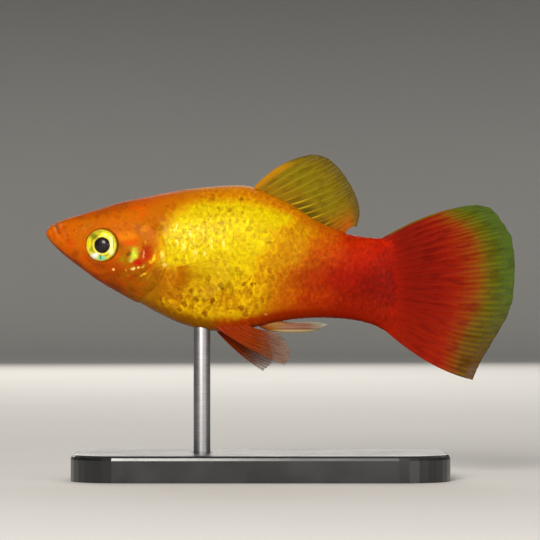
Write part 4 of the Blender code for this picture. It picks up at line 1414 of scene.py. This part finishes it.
def build_gonopodium(material):
    bm = loft(GONOPODIUM, 90, 40)
    for vert in bm.verts:
        ends = smooth_step(vert.co.x, -1.2, 0.0) * smooth_step(-vert.co.x, -3.9, -3.2)
        vert.co += vert.normal * folds(vert.co.z, ROD_GROOVES) * ends
    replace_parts(finished(bm, "gonopodium_rod", material), "gonopodium")


def build_stand(base_finish, rod_finish):
    """The base keeps its own shape. The rod is made again, long enough to enter the belly."""
    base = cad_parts["stand_base"]
    base.data.materials.clear()
    base.data.materials.append(base_finish)
    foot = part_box("stand_rod")[0].z / MM
    bm = bmesh.new()
    bmesh.ops.create_cone(
        bm, cap_ends=True, segments=64, radius1=ROD_RADIUS, radius2=ROD_RADIUS, depth=ROD_TOP - foot
    )
    bmesh.ops.translate(bm, vec=(ROD_PLACE, 0.0, (ROD_TOP + foot) / 2), verts=bm.verts)
    top = [edge for edge in bm.edges if min(vert.co.z for vert in edge.verts) > ROD_TOP - 0.01]
    bmesh.ops.bevel(bm, geom=top, offset=0.12, segments=3, profile=0.5, affect="EDGES", material=-1)
    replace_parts(finished(bm, "stand_rod_steel", rod_finish, sharp_from=40), "stand_rod")


def build_floor(material):
    """A pale round floor whose rim curves up all round, so that no edge shows behind the stand."""
    bm = bmesh.new()
    flat, rim, wall = 620.0, 200.0, 620.0
    profile = [(0.0, 0.0), (flat, 0.0)]
    for step in range(1, 13):
        angle = step / 12 * math.pi / 2
        profile.append((flat + rim * math.sin(angle), rim * (1 - math.cos(angle))))
    profile.append((flat + rim, wall))
    verts = [bm.verts.new((x, 0.0, z)) for x, z in profile]
    edges = [bm.edges.new(pair) for pair in zip(verts, verts[1:])]
    bmesh.ops.spin(
        bm, geom=verts + edges, cent=(0, 0, 0), axis=(0, 0, 1), angle=math.tau, steps=96, use_merge=True
    )
    bmesh.ops.remove_doubles(bm, verts=bm.verts, dist=0.01)
    bm.normal_update()
    if sum(face.normal.z * face.calc_area() for face in bm.faces) < 0:
        bmesh.ops.reverse_faces(bm, faces=bm.faces)
    shown(bm, "floor", material)


def add_light(name, place, size, power):
    """A square soft light that looks at the fish."""
    lamp = bpy.data.lights.new(name, "AREA")
    lamp.size = size
    lamp.energy = power
    lamp.color = LIGHT_COLOUR
    light = in_scene(name, lamp)
    light.location = place
    toward = Vector(LIGHT_AIM) - Vector(place)
    light.rotation_euler = toward.to_track_quat("-Z", "Y").to_euler()
    light.visible_camera = False


def build_studio():
    world = bpy.data.worlds.new("studio")
    world.use_nodes = True
    sky = world.node_tree.nodes["Background"].inputs
    sky["Color"].default_value = SKY_COLOUR
    sky["Strength"].default_value = SKY_STRENGTH
    bpy.context.scene.world = world
    for name, (place, size, power) in LIGHTS.items():
        add_light(name, place, size, power)
    bpy.context.scene.view_settings.view_transform = "Standard"


def place_camera():
    camera = bpy.data.cameras.new("camera")
    camera.lens = CAMERA_LENS
    camera.sensor_width = 36
    camera.clip_start = 0.005
    camera.clip_end = 10
    view = in_scene("camera", camera)
    view.location = CAMERA_PLACE
    view.rotation_euler = (math.pi / 2, 0.0, 0.0)
    bpy.context.scene.camera = view


place_camera()
build_studio()
soft_patch = patch_group()
fish_markings = markings_group(soft_patch)
fine_grain = grain_group()
fin_rays = rays_group()
bare_skin = skin_material("skin", fish_markings, fine_grain)
build_skin(bare_skin)
build_gill_plates(bare_skin)
build_scales(scale_material(fish_markings, fine_grain))
build_eyes(eye_material(soft_patch))
build_fins(fin_rays)
build_gonopodium(rod_fin_material(fine_grain))
build_stand(base_material(fine_grain), rod_material())
build_floor(floor_material())
